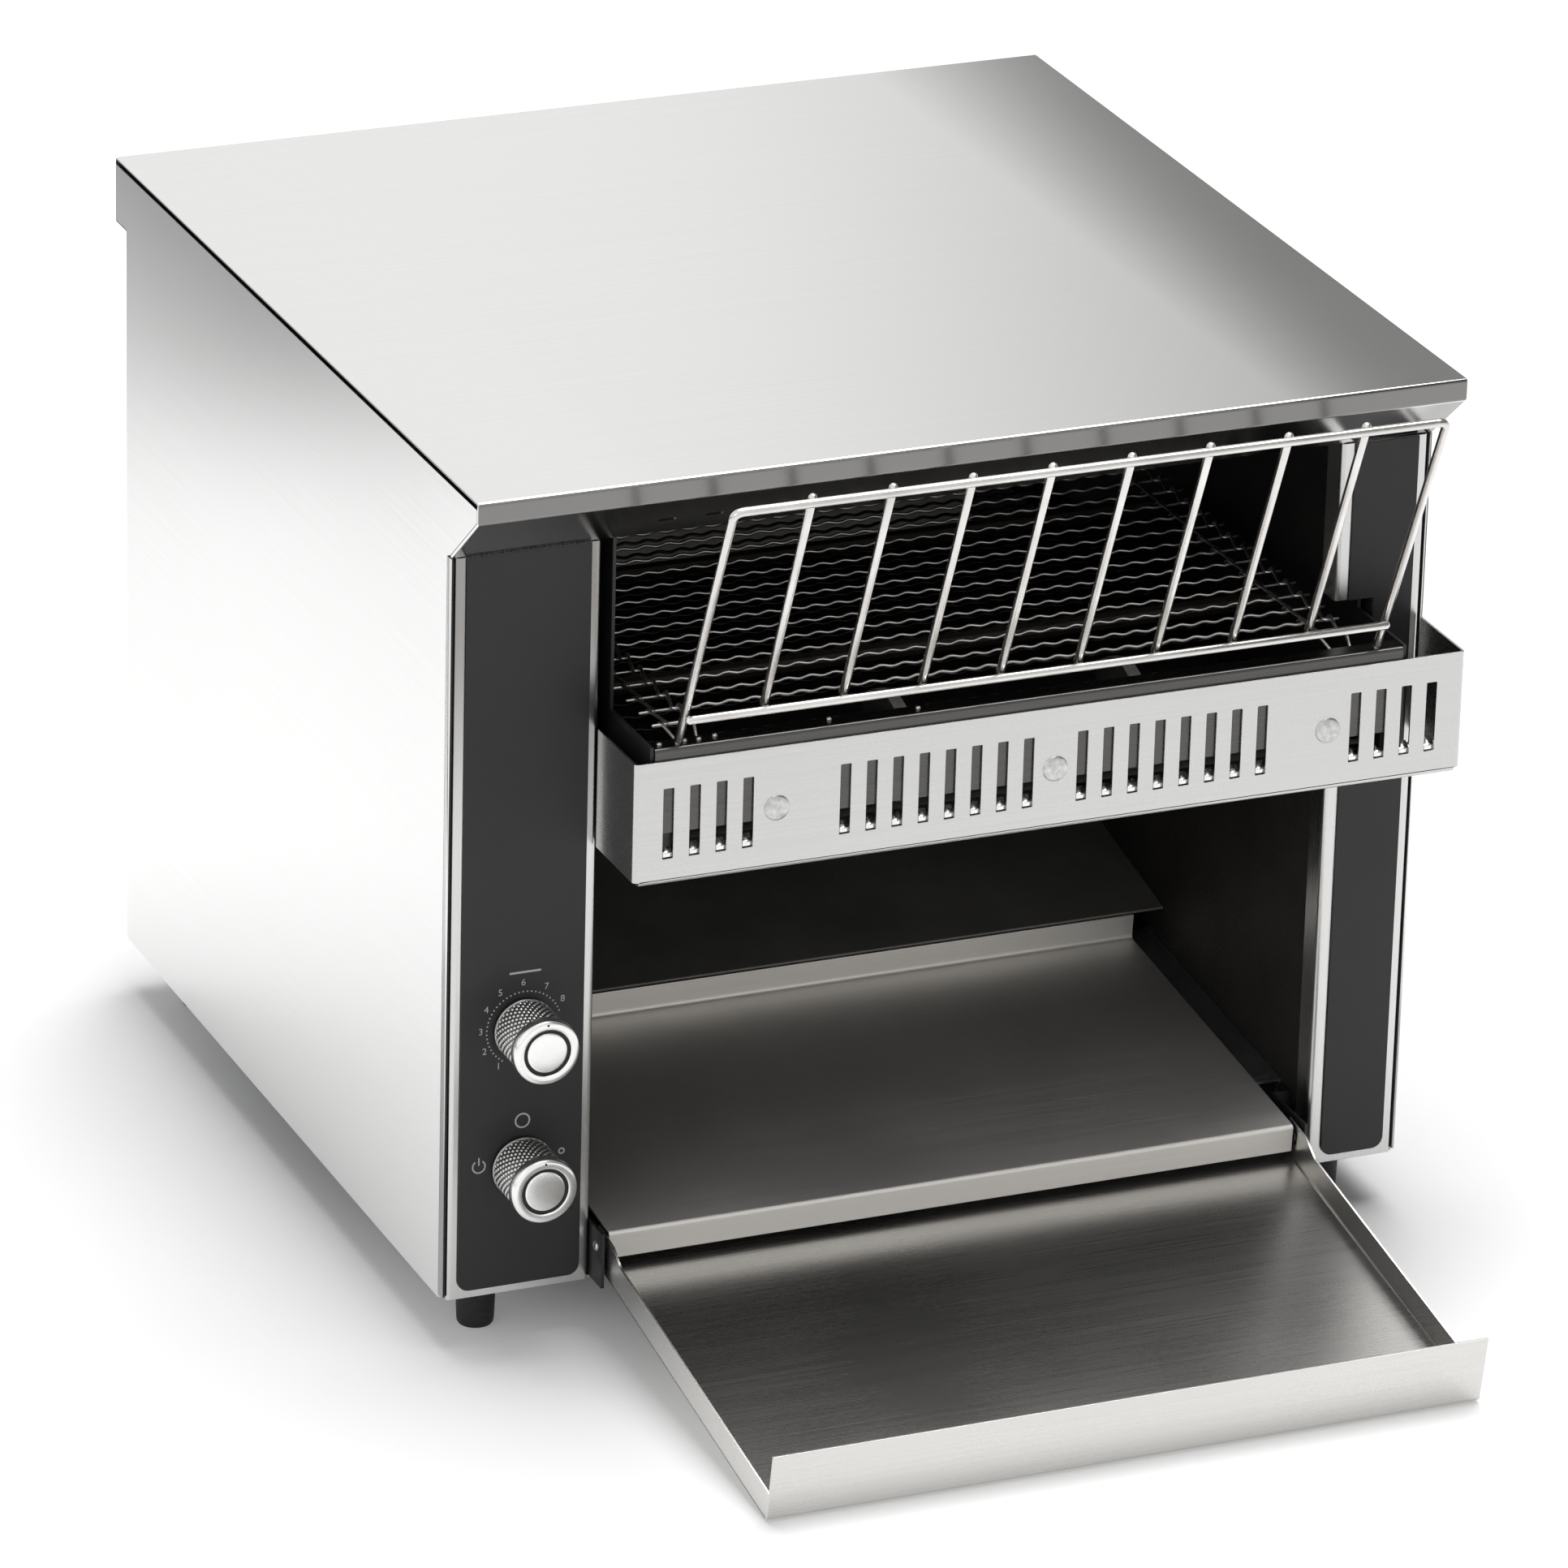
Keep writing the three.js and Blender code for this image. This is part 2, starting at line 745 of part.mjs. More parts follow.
// Columns: front sheets with returned edges; the right one is notched for the conveyor's arm
function shaftHole(z) {
  return circle(leftKnobX, z, controlBushRadius + fit, roundSides);
}
addPiece(
  "left_fascia",
  joined([
    alongY(roundBottom(leftColumnOuter, openLeft, 0, columnTop, columnRadius),
      fasciaSetback, columnBack, [shaftHole(speedKnobZ), shaftHole(selectorKnobZ)]),
    block(leftColumnOuter, leftColumnOuter + sheet, fasciaSetback, fasciaSetback + columnReturn,
      columnRadius, columnTop),
    block(openLeft - sheet, openLeft, fasciaSetback, fasciaSetback + columnReturn,
      columnRadius, columnTop),
  ]),
  stainless,
);
function notch(y0, y1) {
  return block(openRight - overrun, conveyorRight + upperWallGap, y0 - overrun, y1 + overrun,
    armBottom - notchBelow, armTop + notchAbove);
}
addPiece(
  "right_fascia",
  cut(
    joined([
      alongY(roundBottom(openRight, rightColumnOuter, 0, columnTop, columnRadius),
        fasciaSetback, columnBack),
      block(openRight, openRight + sheet, fasciaSetback, fasciaSetback + columnReturn,
        columnRadius, columnTop),
      block(rightColumnOuter - sheet, rightColumnOuter, fasciaSetback,
        fasciaSetback + columnReturn, columnRadius, columnTop),
    ]),
    [notch(fasciaSetback, fasciaSetback + columnReturn)],
  ),
  stainless,
);

// Overlays: thin dark panels laid on the columns inside a bright rim
const overlayBack = fasciaSetback - fit;
const overlayFace = overlayBack - overlay;
addPiece(
  "control_overlay",
  alongY(
    roundBottom(leftColumnOuter + overlayRim, openLeft - overlayRim, overlayBottom, columnTop,
      overlayRadius),
    overlayFace, overlayBack, [shaftHole(speedKnobZ), shaftHole(selectorKnobZ)],
  ),
  overlayFilm,
);
addPiece(
  "right_overlay",
  cut(
    alongY(
      roundBottom(openRight + overlayRightRim, rightColumnOuter - overlayRim, overlayBottom,
        columnTop, overlayRadius),
      overlayFace, overlayBack,
    ),
    [notch(overlayFace, overlayBack)],
  ),
  overlayFilm,
);

// Walls between the hot middle and the two compartments
const shaftClearance = bushRadius + fit;
function heaterRow(first, last, count, z) {
  return Array.from({ length: count }, (_, i) => [first + (i * (last - first)) / (count - 1), z]);
}
const upperRow = heaterRow(upperHeaterFirst, driveY - upperHeaterRear, upperHeaters, upperHeaterZ);
const lowerRow = heaterRow(lowerHeaterFirst, driveY - lowerHeaterRear, lowerHeaters, shaftZ);
function heaterHoles(gap) {
  return [...upperRow, ...lowerRow].map(([y, z]) => circle(y, z, heaterRadius + gap, fewSides));
}
const wallFront = columnBack + fit;
const wallStepY = fasciaSetback + hoodFlange + fit;
const wallStepZ = hoodBottom - wallStepDrop;
const leftWallOutline = [
  [wallFront, sheet + fit],
  [wallRear, sheet + fit],
  [wallRear, wallTop],
  [wallStepY, wallTop],
  [wallStepY, wallStepZ],
  [wallFront, wallStepZ],
];
addPiece(
  "left_inner_wall",
  alongX(
    leftWallOutline,
    leftWallFace - sheet, leftWallFace,
    [circle(driveY, shaftZ, shaftClearance, roundSides), ...heaterHoles(heaterHoleGap)],
  ),
  darkSteel,
);
const rightWallLine = [
  [rightUpperFace, wallTop],
  [rightUpperFace, jogHeight],
  [rightWallFace, jogHeight],
  [rightWallFace, sheet + fit],
];
addPiece(
  "right_inner_wall",
  cut(
    alongY(folded(rightWallLine, -sheet), wallFront, wallRear),
    [
      block(rightUpperFace - overrun, rightUpperFace + overrun, wallFront - overrun, wallStepY,
        wallStepZ, wallTop + overrun),
      ...heaterHoles(heaterHoleGap).map((hole) =>
        alongX(hole, rightUpperFace - overrun, rightUpperFace + overrun)),
    ],
  ),
  darkSteel,
);

// Conveyor side plates: a low arm in front, a tall frame behind, spacers to the walls
const frameOutline = [
  [armFront, armBottom],
  [frameRear, armBottom],
  [frameRear, frameTop],
  [wallStepY, frameTop],
  [wallStepY, wallStepZ],
  [frameFront, wallStepZ],
  [frameFront, armTop],
  [armFront, armTop],
];
const frameHoles = [
  circle(idlerY, shaftZ, bushRadius + fit, roundSides),
  circle(driveY, shaftZ, bushRadius + fit, roundSides),
  ...heaterHoles(heaterHoleGap),
];
function spacers(from, to) {
  const places = Array.from({ length: spacerRows }, (_, i) => {
    const share = (i + 0.5) / spacerRows;
    return frameFront + share * (frameRear - frameFront);
  });
  return places.flatMap((y) => [
    bar([from, y, spacerLow], [to, y, spacerLow], spacerRadius, fewSides),
    bar([from, y, spacerHigh], [to, y, spacerHigh], spacerRadius, fewSides),
  ]);
}
addPiece(
  "conveyor_left_plate",
  joined([
    alongX(frameOutline, conveyorLeft, frameLeftInner, frameHoles),
    block(conveyorLeft, frameLeftInner + armFlange, armFront, armFront + plate,
      armBottom, armFlangeTop),
    ...spacers(leftWallFace + fit, frameLeftInner - plate / 2),
  ]),
  blackPaint,
);
addPiece(
  "conveyor_right_plate",
  joined([
    alongX(frameOutline, frameRightInner, conveyorRight, frameHoles),
    block(frameRightInner - armFlange, conveyorRight, armFront, armFront + plate,
      armBottom, armFlangeTop),
    ...spacers(frameRightInner + plate / 2, rightUpperFace - fit),
  ]),
  blackPaint,
);

// Sheets between the side plates
const betweenLeft = frameLeftInner + fit;
const betweenRight = frameRightInner - fit;
const reflectorLine = [
  [reflectorFront, reflectorTop - reflectorDrop],
  [reflectorFront + reflectorDrop, reflectorTop],
  [reflectorRear - reflectorDrop, reflectorTop],
  [reflectorRear, reflectorTop - reflectorDrop],
];
addPiece("upper_reflector", alongX(folded(reflectorLine, sheet), betweenLeft, betweenRight),
  galvanised);
const underpanLine = [
  [underpanFront, underpanTop - underpanFlange],
  [underpanFront, underpanTop],
  [underpanRear, underpanTop],
  [underpanRear, underpanTop - underpanFlange],
];
addPiece("conveyor_underpan", alongX(folded(underpanLine, sheet), betweenLeft, betweenRight),
  darkSteel);

// Heaters: sheathed rods through plates and walls, with a terminal pin at each end
function heater(y, z) {
  const left = leftWallFace - sheet - heaterStub;
  const right = rightUpperFace + sheet + heaterStub;
  const profile = [
    [0, left - heaterPin],
    [heaterPinRadius, left - heaterPin],
    [heaterPinRadius, left],
    [heaterRadius, left],
    [heaterRadius, right],
    [heaterPinRadius, right],
    [heaterPinRadius, right + heaterPin],
    [0, right + heaterPin],
  ];
  return turnedX(profile, fewSides, y, z);
}
upperRow.forEach(([y, z], i) => addPiece(`upper_heater_${i + 1}`, heater(y, z), heaterSheath));
lowerRow.forEach(([y, z], i) => addPiece(`lower_heater_${i + 1}`, heater(y, z), heaterSheath));

// Bushes: flanged, pressed in from inside the frame
function bush(y, inner, side) {
  const proud = inner - side * (plate + bushProud);
  const face = inner + side * bushFlange;
  const bore = journalRadius + fit;
  const profile = [
    [bore, proud],
    [bushRadius, proud],
    [bushRadius, inner + side * fit],
    [bushFlangeRadius, inner + side * fit],
    [bushFlangeRadius, face],
    [bore, face],
    [bore, proud],
  ];
  return turnedX(profile, roundSides, y, shaftZ);
}
addPiece("idler_bush_left", bush(idlerY, frameLeftInner, 1), bronze);
addPiece("idler_bush_right", bush(idlerY, frameRightInner, -1), bronze);
addPiece("drive_bush_left", bush(driveY, frameLeftInner, 1), bronze);
addPiece("drive_bush_right", bush(driveY, frameRightInner, -1), bronze);

// Shafts: hexagon bars with round journals
function shaft(y, leftEnd, rightEnd) {
  const hexLeft = frameLeftInner + bushFlange + fit;
  const hexRight = frameRightInner - bushFlange - fit;
  return joined([
    alongX(circle(y, shaftZ, hexRadius, 6), hexLeft, hexRight),
    bar([leftEnd, y, shaftZ], [rightEnd, y, shaftZ], journalRadius, smallSides),
  ]);
}
addPiece("idler_shaft", shaft(idlerY, conveyorLeft - shaftEnd, conveyorRight + shaftEnd), chrome);
const gearboxRight = leftWallFace - sheet - fit;
addPiece("drive_shaft", shaft(driveY, gearboxRight - shaftInGearbox, conveyorRight + shaftEnd), chrome);

// Sprockets: a gullet for each wire and a broad tooth between, on a hexagon bore
function sprocket(y, x) {
  const gulletAngle = gulletHalf / sprocketRadius;
  const outline = Array.from({ length: sprocketTeeth }, (_, i) => {
    const middle = Math.PI / 2 + (2 * Math.PI * i) / sprocketTeeth;
    const bottom = sprocketRadius - wireRadius - fit;
    const top = sprocketRadius + toothRise;
    return [
      [middle - gulletAngle, top],
      [middle - gulletAngle, bottom],
      [middle + gulletAngle, bottom],
      [middle + gulletAngle, top],
    ].map(([angle, radius]) => [y + radius * Math.cos(angle), shaftZ + radius * Math.sin(angle)]);
  }).flat();
  const bore = circle(y, shaftZ, hexRadius + fit / Math.cos(Math.PI / 6), 6);
  return alongX(outline, x - sprocketWidth / 2, x + sprocketWidth / 2, [bore]);
}
const sprocketXs = [beltLeft + beltWidth / 3, beltRight - beltWidth / 3];
[["idler", idlerY], ["drive", driveY]].forEach(([name, y]) => {
  addPiece(`${name}_sprocket_left`, sprocket(y, sprocketXs[0]), satinSilver);
  addPiece(`${name}_sprocket_right`, sprocket(y, sprocketXs[1]), satinSilver);
});

// Belt: one bent wire per row. Near both edges its hooks pass over the next wire and under
// that wire's own hooks; the sprockets carry the straight stretch between.
const beltRows = [];
for (let i = 0; i < beltSpans; i += 1) {
  beltRows.push([idlerY + i * beltPitch, shaftZ + sprocketRadius]);
}
const arcRows = sprocketTeeth / 2;
function arcRow(y, start, i) {
  const angle = start - (2 * Math.PI * i) / sprocketTeeth;
  return [y + sprocketRadius * Math.cos(angle), shaftZ + sprocketRadius * Math.sin(angle)];
}
for (let i = 0; i < arcRows; i += 1) beltRows.push(arcRow(driveY, Math.PI / 2, i));
for (let i = 0; i < beltSpans; i += 1) {
  beltRows.push([driveY - i * beltPitch, shaftZ - sprocketRadius]);
}
for (let i = 0; i < arcRows; i += 1) beltRows.push(arcRow(idlerY, -Math.PI / 2, i));

// The unit direction from a row to the next one, and the belt's outward direction there
function rowFrame(i) {
  const here = new THREE.Vector2(...beltRows[i % beltRows.length]);
  const next = new THREE.Vector2(...beltRows[(i + 1) % beltRows.length]);
  const along = next.sub(here).normalize();
  return { along, outward: new THREE.Vector2(-along.y, along.x) };
}

function beltStrand(i) {
  const here = rowFrame(i);
  const next = rowFrame(i + 1);
  const start = new THREE.Vector2(...beltRows[i]);
  const end = new THREE.Vector2(...beltRows[(i + 1) % beltRows.length]);
  const up = here.outward.clone().add(next.outward).normalize();
  const over = (rise) =>
    end.clone().addScaledVector(up, rise).addScaledVector(next.along, hookLead);
  const tip = end.clone()
    .addScaledVector(next.along, hookReach)
    .addScaledVector(next.outward, -hookDip);
  const at = (x, place) => [x, place.x, place.y];
  const points = [at(beltLeft, start)];
  [beltLeft + hookInset, beltRight - hookInset].forEach((x, column) => {
    const firstRise = column === 0 ? hookWeld : hookRise;
    points.push(
      at(x - hookBase, start),
      at(x - hookTip, over(firstRise)),
      at(x - hookTip, tip),
      at(x + hookTip, tip),
      at(x + hookTip, over(hookRise)),
      at(x + hookBase, start),
    );
  });
  points.push(at(beltRight, start));
  return bentWire(points, wireRadius, wireSides, [0, here.outward.x, here.outward.y]);
}
addPiece("conveyor_belt", joined(beltRows.map((row, i) => beltStrand(i))), wireSteel);

// Feed guard: a slotted front folded back at both ends, with a ledge underneath
const guardLine = softened(
  [
    [guardRight, guardBack],
    [guardRight, guardFace],
    [guardLeft, guardFace],
    [guardLeft, guardBack],
  ],
  bendRadius,
  2,
);
const slotOffsets = [
  ...Array.from({ length: innerSlots }, (_, i) => innerSlotFirst + i * slotPitch),
  ...Array.from({ length: outerSlots }, (_, i) => outerSlotFirst + i * slotPitch),
];
const slotCutters = slotOffsets.flatMap((offset) =>
  [-offset, offset].map((shift) => {
    const x = guardMiddle + shift;
    return block(x - slotWidth / 2, x + slotWidth / 2, guardFace - overrun, guardFace + overrun,
      guardBottom + slotBottom, guardBottom + slotBottom + slotHeight);
  }),
);
const screwHoles = (y) => guardScrewXs.map((x) =>
  bar([x, y - overrun, guardScrewHeight], [x, y + overrun, guardScrewHeight],
    screwRadius + fit, smallSides));
addPiece(
  "feed_guard",
  cut(
    joined([
      alongZ(folded(guardLine, sheet), guardBottom, guardTop),
      block(guardLeft + sheet / 2, guardRight - sheet / 2, guardFace + sheet / 2,
        guardFace + guardLedge, guardBottom, guardBottom + sheet),
    ]),
    [...slotCutters, ...screwHoles(guardFace)],
  ),
  stainless,
);
guardScrewXs.forEach((x, i) => {
  const seat = guardFace - fit;
  const profile = [
    [0, seat + screwLength],
    [screwRadius, seat + screwLength],
    [screwRadius, seat],
    [screwHeadRadius, seat],
    [screwHeadRadius * screwDomeShare, seat - screwHead],
    [0, seat - screwHead],
  ];
  addPiece(`guard_screw_${i + 1}`, turnedY(profile, roundSides, x, guardScrewHeight), chrome);
});

// Apron: hides the front of the belt and carries the rack in two slanted holes
const apronLine = softened(
  [
    [apronFace, apronBottom],
    [apronFace, apronTop],
    [apronFace + apronLedge, apronTop],
  ],
  apronRadius,
  3,
);
function leaned(geometry) {
  return geometry.rotateX(rackLean).translate(0, rackFootY, rackFootZ);
}
const rackEnds = [conveyorMiddle - rackHalfWidth, conveyorMiddle + rackHalfWidth];
addPiece(
  "front_apron",
  cut(
    alongX(folded(apronLine, apron), conveyorLeft + apronEndGap, conveyorRight - apronEndGap),
    [
      ...rackEnds.map((x) =>
        leaned(bar([x, 0, -overrun], [x, 0, overrun], spigotRadius + fit, smallSides))),
      ...screwHoles(apronFace),
    ],
  ),
  darkSteel,
);

// Loading rack: a bent frame wire with bars welded on and spigots at its feet
const rackGroup = new THREE.Group();
rackGroup.position.set(conveyorMiddle, rackFootY, rackFootZ);
rackGroup.rotation.x = rackLean;
toaster.add(rackGroup);
const rodRadius = rackRod / 2;
const rackRise = rackHeight - rackRod;
const frameWire = softened(
  [
    [-rackHalfWidth, 0],
    [-rackHalfWidth, rackRise],
    [rackHalfWidth, rackRise],
    [rackHalfWidth, 0],
  ],
  rackCornerRadius,
  3,
).map(([x, z]) => [x, 0, z]);
const rackPitch = (2 * rackHalfWidth) / (rackInnerRods + 1);
const rodBack = rackRod - rackWeld;
const rackPieces = [
  bentWire(frameWire, rodRadius, rackSides, [0, -1, 0]),
  bar([-rackHalfWidth - rodRadius, -rodBack, rackBarHeight],
    [rackHalfWidth + rodRadius, -rodBack, rackBarHeight], rodRadius, rackSides),
];
for (let i = 1; i <= rackInnerRods; i += 1) {
  const x = -rackHalfWidth + i * rackPitch;
  rackPieces.push(bar([x, 0, rackBarHeight - rodRadius], [x, rodBack, rackRise + rackNub],
    rodRadius, rackSides));
}
[-rackHalfWidth, rackHalfWidth].forEach((x) => {
  rackPieces.push(bar([x, 0, -spigotLength], [x, 0, rackWeld], spigotRadius, rackSides));
});
addPiece("loading_rack", joined(rackPieces), chrome, rackGroup);

// Chute: catches buns behind the belt and turns them to the front
const chuteLine = [
  [rearFace - chuteRearGap, bodyHeight - chuteTopGap],
  [rearFace - chuteRearGap, chuteKneeZ],
  [rearFace - chuteBendGap, chuteBendZ],
  [rearFace - chuteRampGap, chuteRampZ],
  [shelfRearY - chuteOverShelf, chuteEndZ],
];
addPiece(
  "rear_chute",
  alongX(folded(softened(chuteLine, chuteRadius, chuteSteps), -sheet),
    leftWallFace + chuteSideGap, rightWallFace - chuteSideGap),
  darkSteel,
);

// Discharge shelf: modelled flat, then tilted about its front edge
const shelfGroup = new THREE.Group();
shelfGroup.position.set(0, shelfFrontY, shelfFrontZ);
shelfGroup.rotation.x = shelfSlope;
toaster.add(shelfGroup);
const shelfLine = [
  [0, -shelfLip],
  [0, 0],
  [shelfDepth, 0],
  [shelfDepth, shelfUpstand],
];
addPiece("discharge_shelf", alongX(folded(shelfLine, sheet), shelfLeft, shelfRight), stainless,
  shelfGroup);

// Rails: angles on the two walls, under the shelf's edges and at its slope
const railTop = -sheet - fit;
const railStart = railFrontY - shelfFrontY;
function rail(wallX, tipX) {
  const side = Math.sign(tipX - wallX);
  const line = [
    [wallX, railTop - railHeight],
    [wallX, railTop],
    [tipX, railTop],
  ];
  return alongY(folded(line, side * sheet), railStart, railStart + railLength);
}
addPiece("left_shelf_rail", rail(leftWallFace + fit, shelfLeft + railWidth), galvanised, shelfGroup);
addPiece("right_shelf_rail", rail(rightWallFace - fit, shelfRight - railWidth), galvanised,
  shelfGroup);

// Collection tray: modelled flat about its two pins, then tilted down to the counter. The
// slots in its ears widen to the back, so it draws level off the pins.
const trayGroup = new THREE.Group();
trayGroup.position.set(0, trayPinY, trayPinZ);
trayGroup.rotation.x = traySlope;
toaster.add(trayGroup);
const trayLine = [
  [trayTail, trayFloor],
  [-trayLength, trayFloor],
  [-trayLength, trayFloor + trayLip],
];
const wallHeight = trayFloor + trayWall;
const slotHalf = pinRadius + pinSlotGap;
const trayWallOutline = [
  [trayTail, trayFloor],
  [-trayLength, trayFloor],
  [-trayLength, wallHeight],
  [-earLength, wallHeight],
  [-earLength / 2, earRise],
  [trayTail, earRise],
  [trayTail, slotHalf],
  [-slotHalf, slotHalf],
  [-slotHalf, -slotHalf],
  [trayTail, -slotHalf - trayTail * Math.tan(traySlope)],
];
addPiece(
  "collection_tray",
  joined([
    alongX(folded(trayLine, sheet), trayLeft, trayRight),
    alongX(trayWallOutline, trayLeft, trayLeft + sheet),
    alongX(trayWallOutline, trayRight - sheet, trayRight),
  ]),
  stainless,
  trayGroup,
);

// Brackets: stand on the base pan beside the tray and carry it on a pin
const bracketBottom = sheet + fit;
function bracketSheet(line, side) {
  return alongZ(folded(line, side * plate), bracketBottom, trayPinZ + bracketTop);
}
const leftBracketFace = openLeft + fit;
addPiece(
  "left_tray_bracket",
  joined([
    bracketSheet([[leftBracketFace, trayPinY - bracketFront], [leftBracketFace, bracketRear]], 1),
    bar([leftBracketFace + plate / 2, trayPinY, trayPinZ],
      [trayLeft + sheet + trayGap / 2, trayPinY, trayPinZ], pinRadius, smallSides),
  ]),
  galvanised,
);
const rightBracketFace = trayRight + bracketGap;
addPiece(
  "right_tray_bracket",
  joined([
    bracketSheet(
      [
        [rightBracketFace, trayPinY - bracketFront],
        [rightBracketFace, bracketRear],
        [rightWallFace - fit - plate, bracketRear],
        [rightWallFace - fit - plate, bracketRear + bracketFoot],
      ],
      1,
    ),
    bar([trayRight - sheet - trayGap / 2, trayPinY, trayPinZ],
      [rightBracketFace + plate / 2, trayPinY, trayPinZ], pinRadius, smallSides),
  ]),
  galvanised,
);

// Knobs: fluted barrels on spindles, each with a bright cap that has a raised rim
function knob(z) {
  const around = circle(leftKnobX, z, knobRadius, knobFlutes * 2).map(([x, height], i) => {
    const pull = i % 2 === 0 ? 0 : fluteDepth / knobRadius;
    return [x - (x - leftKnobX) * pull, height - (height - z) * pull];
  });
  return joined([
    alongY(around, knobBack - knobBarrel, knobBack),
    bar([leftKnobX, knobBack - fit, z], [leftKnobX, columnBack + spindleReach, z],
      spindleRadius, smallSides),
  ]);
}
function knobCap(z) {
  const back = knobBack - knobBarrel - fit;
  const front = back - capDepth;
  const profile = [
    [0, back],
    [knobRadius, back],
    [capRadius, back - capDepth / 2],
    [capRadius - capRecess / 2, front],
    [capRadius - capRim, front],
    [capRadius - capRim - capRecess / 2, front + capRecess],
    [0, front + capRecess],
  ];
  return joined([
    turnedY(profile, roundSides + smallSides, leftKnobX, z),
    block(leftKnobX - pointerWidth / 2, leftKnobX + pointerWidth / 2,
      front - pointerRise, back - capDepth / 2,
      z + capRadius - capRim, z + capRadius - capRim + pointerLength),
  ]);
}
addPiece("speed_knob", knob(speedKnobZ), satinSilver);
addPiece("speed_knob_cap", knobCap(speedKnobZ), chrome);
addPiece("selector_knob", knob(selectorKnobZ), satinSilver);
addPiece("selector_knob_cap", knobCap(selectorKnobZ), chrome);

// Controls behind the left column: bodies with a threaded neck through the sheet
const controlFront = overlayFace;
const controlSeat = columnBack + fit;
function spindleBore(z, depth) {
  return bar([leftKnobX, controlFront - overrun, z], [leftKnobX, depth, z],
    spindleRadius + fit, smallSides);
}
function controlNeck(z) {
  return bar([leftKnobX, controlFront, z], [leftKnobX, controlSeat + fit, z],
    controlBushRadius, smallSides);
}
const boreEnd = columnBack + spindleReach + fit;
addPiece(
  "speed_potentiometer",
  cut(
    joined([
      controlNeck(speedKnobZ),
      bar([leftKnobX, controlSeat, speedKnobZ], [leftKnobX, controlSeat + potDepth, speedKnobZ],
        potRadius, roundSides),
    ]),
    [spindleBore(speedKnobZ, boreEnd)],
  ),
  blackPlastic,
);
addPiece(
  "selector_switch",
  cut(
    joined([
      controlNeck(selectorKnobZ),
      block(leftKnobX - switchSide / 2, leftKnobX + switchSide / 2, controlSeat,
        controlSeat + switchDepth, selectorKnobZ - switchSide / 2, selectorKnobZ + switchSide / 2),
    ]),
    [spindleBore(selectorKnobZ, boreEnd)],
  ),
  blackPlastic,
);

// Gear motor: a gearbox on the left wall, with its motor hanging under it
const gearboxLeft = gearboxRight - gearboxWidth;
const gearboxBottom = shaftZ - gearboxHeight / 2;
const gearbox = alongX(
  softened(
    [
      [driveY, gearboxBottom],
      [driveY + gearboxDepth / 2, gearboxBottom],
      [driveY + gearboxDepth / 2, gearboxBottom + gearboxHeight],
      [driveY - gearboxDepth / 2, gearboxBottom + gearboxHeight],
      [driveY - gearboxDepth / 2, gearboxBottom],
      [driveY - gearboxCorner, gearboxBottom],
    ],
    gearboxCorner,
    2,
  ),
  gearboxLeft, gearboxRight,
);
const motor = turnedZ(
  [
    [0, gearboxBottom + fit],
    [motorNeckRadius, gearboxBottom + fit],
    [motorNeckRadius, gearboxBottom - motorNeck],
    [motorRadius - motorBevel, gearboxBottom - motorNeck],
    [motorRadius, gearboxBottom - motorNeck - motorBevel],
    [motorRadius, gearboxBottom - motorLength + motorBevel],
    [motorRadius - motorBevel, gearboxBottom - motorLength],
    [0, gearboxBottom - motorLength],
  ],
  roundSides,
  compartmentX,
  driveY,
);
addPiece(
  "gear_motor",
  cut(joined([gearbox, motor]), [
    bar([gearboxRight - shaftInGearbox - fit, driveY, shaftZ],
      [gearboxRight + overrun, driveY, shaftZ], journalRadius + fit, smallSides),
  ]),
  castAluminium,
);

// Cooling fan against the rear panel
const fanBack = rearFace - sheet - fit;
const fanFront = fanBack - fanDepth;
const bossFront = fanBack - fanBoss;
const struts = [0, Math.PI / 2].map((turn) =>
  alongY(circle(0, 0, 1, 4, Math.PI / 4).map(([u, v]) => [
    u * Math.SQRT1_2 * 2 * fanBore,
    v * Math.SQRT1_2 * fanStrut,
  ]), bossFront + fit, fanBack).rotateY(turn).translate(compartmentX, 0, fanZ));
addPiece(
  "cooling_fan_frame",
  cut(
    joined([
      alongY(
        rectangle(compartmentX - fanSide / 2, compartmentX + fanSide / 2,
          fanZ - fanSide / 2, fanZ + fanSide / 2),
        fanFront, fanBack, [circle(compartmentX, fanZ, fanBore, roundSides + smallSides)],
      ),
      bar([compartmentX, bossFront, fanZ], [compartmentX, fanBack, fanZ], fanHub, smallSides),
      ...struts,
    ]),
    [bar([compartmentX, bossFront - overrun, fanZ], [compartmentX, fanBack - fit, fanZ],
      fanAxleRadius + fit, smallSides)],
  ),
  blackPlastic,
);
const rotorBack = bossFront - fit;
const blades = Array.from({ length: fanBlades }, (_, i) =>
  new THREE.BoxGeometry(fanBlade, fanDepth - fanBoss - fanTipGap, fanBore - fanTipGap)
    .translate(0, 0, (fanBore - fanTipGap) / 2)
    .rotateZ(fanBladeTurn)
    .rotateY((2 * Math.PI * i) / fanBlades));
const rotorSpace = bar([0, 0, 0], [0, fanDepth - fanBoss - fanTipGap, 0], fanBore - fanTipGap,
  roundSides + smallSides).translate(0, -(fanDepth - fanBoss - fanTipGap) / 2, 0);
const rotorMiddle = (fanFront + fanTipGap + rotorBack) / 2;
addPiece(
  "cooling_fan_rotor",
  joined([
    solidOf(rotorSpace).intersect(joined(blades)).translate([compartmentX, rotorMiddle, fanZ]),
    bar([compartmentX, fanFront + fanTipGap, fanZ], [compartmentX, rotorBack, fanZ], fanHub,
      smallSides),
    bar([compartmentX, rotorBack - fit, fanZ], [compartmentX, fanBack - fit - fit, fanZ],
      fanAxleRadius, smallSides),
  ]),
  blackPlastic,
);

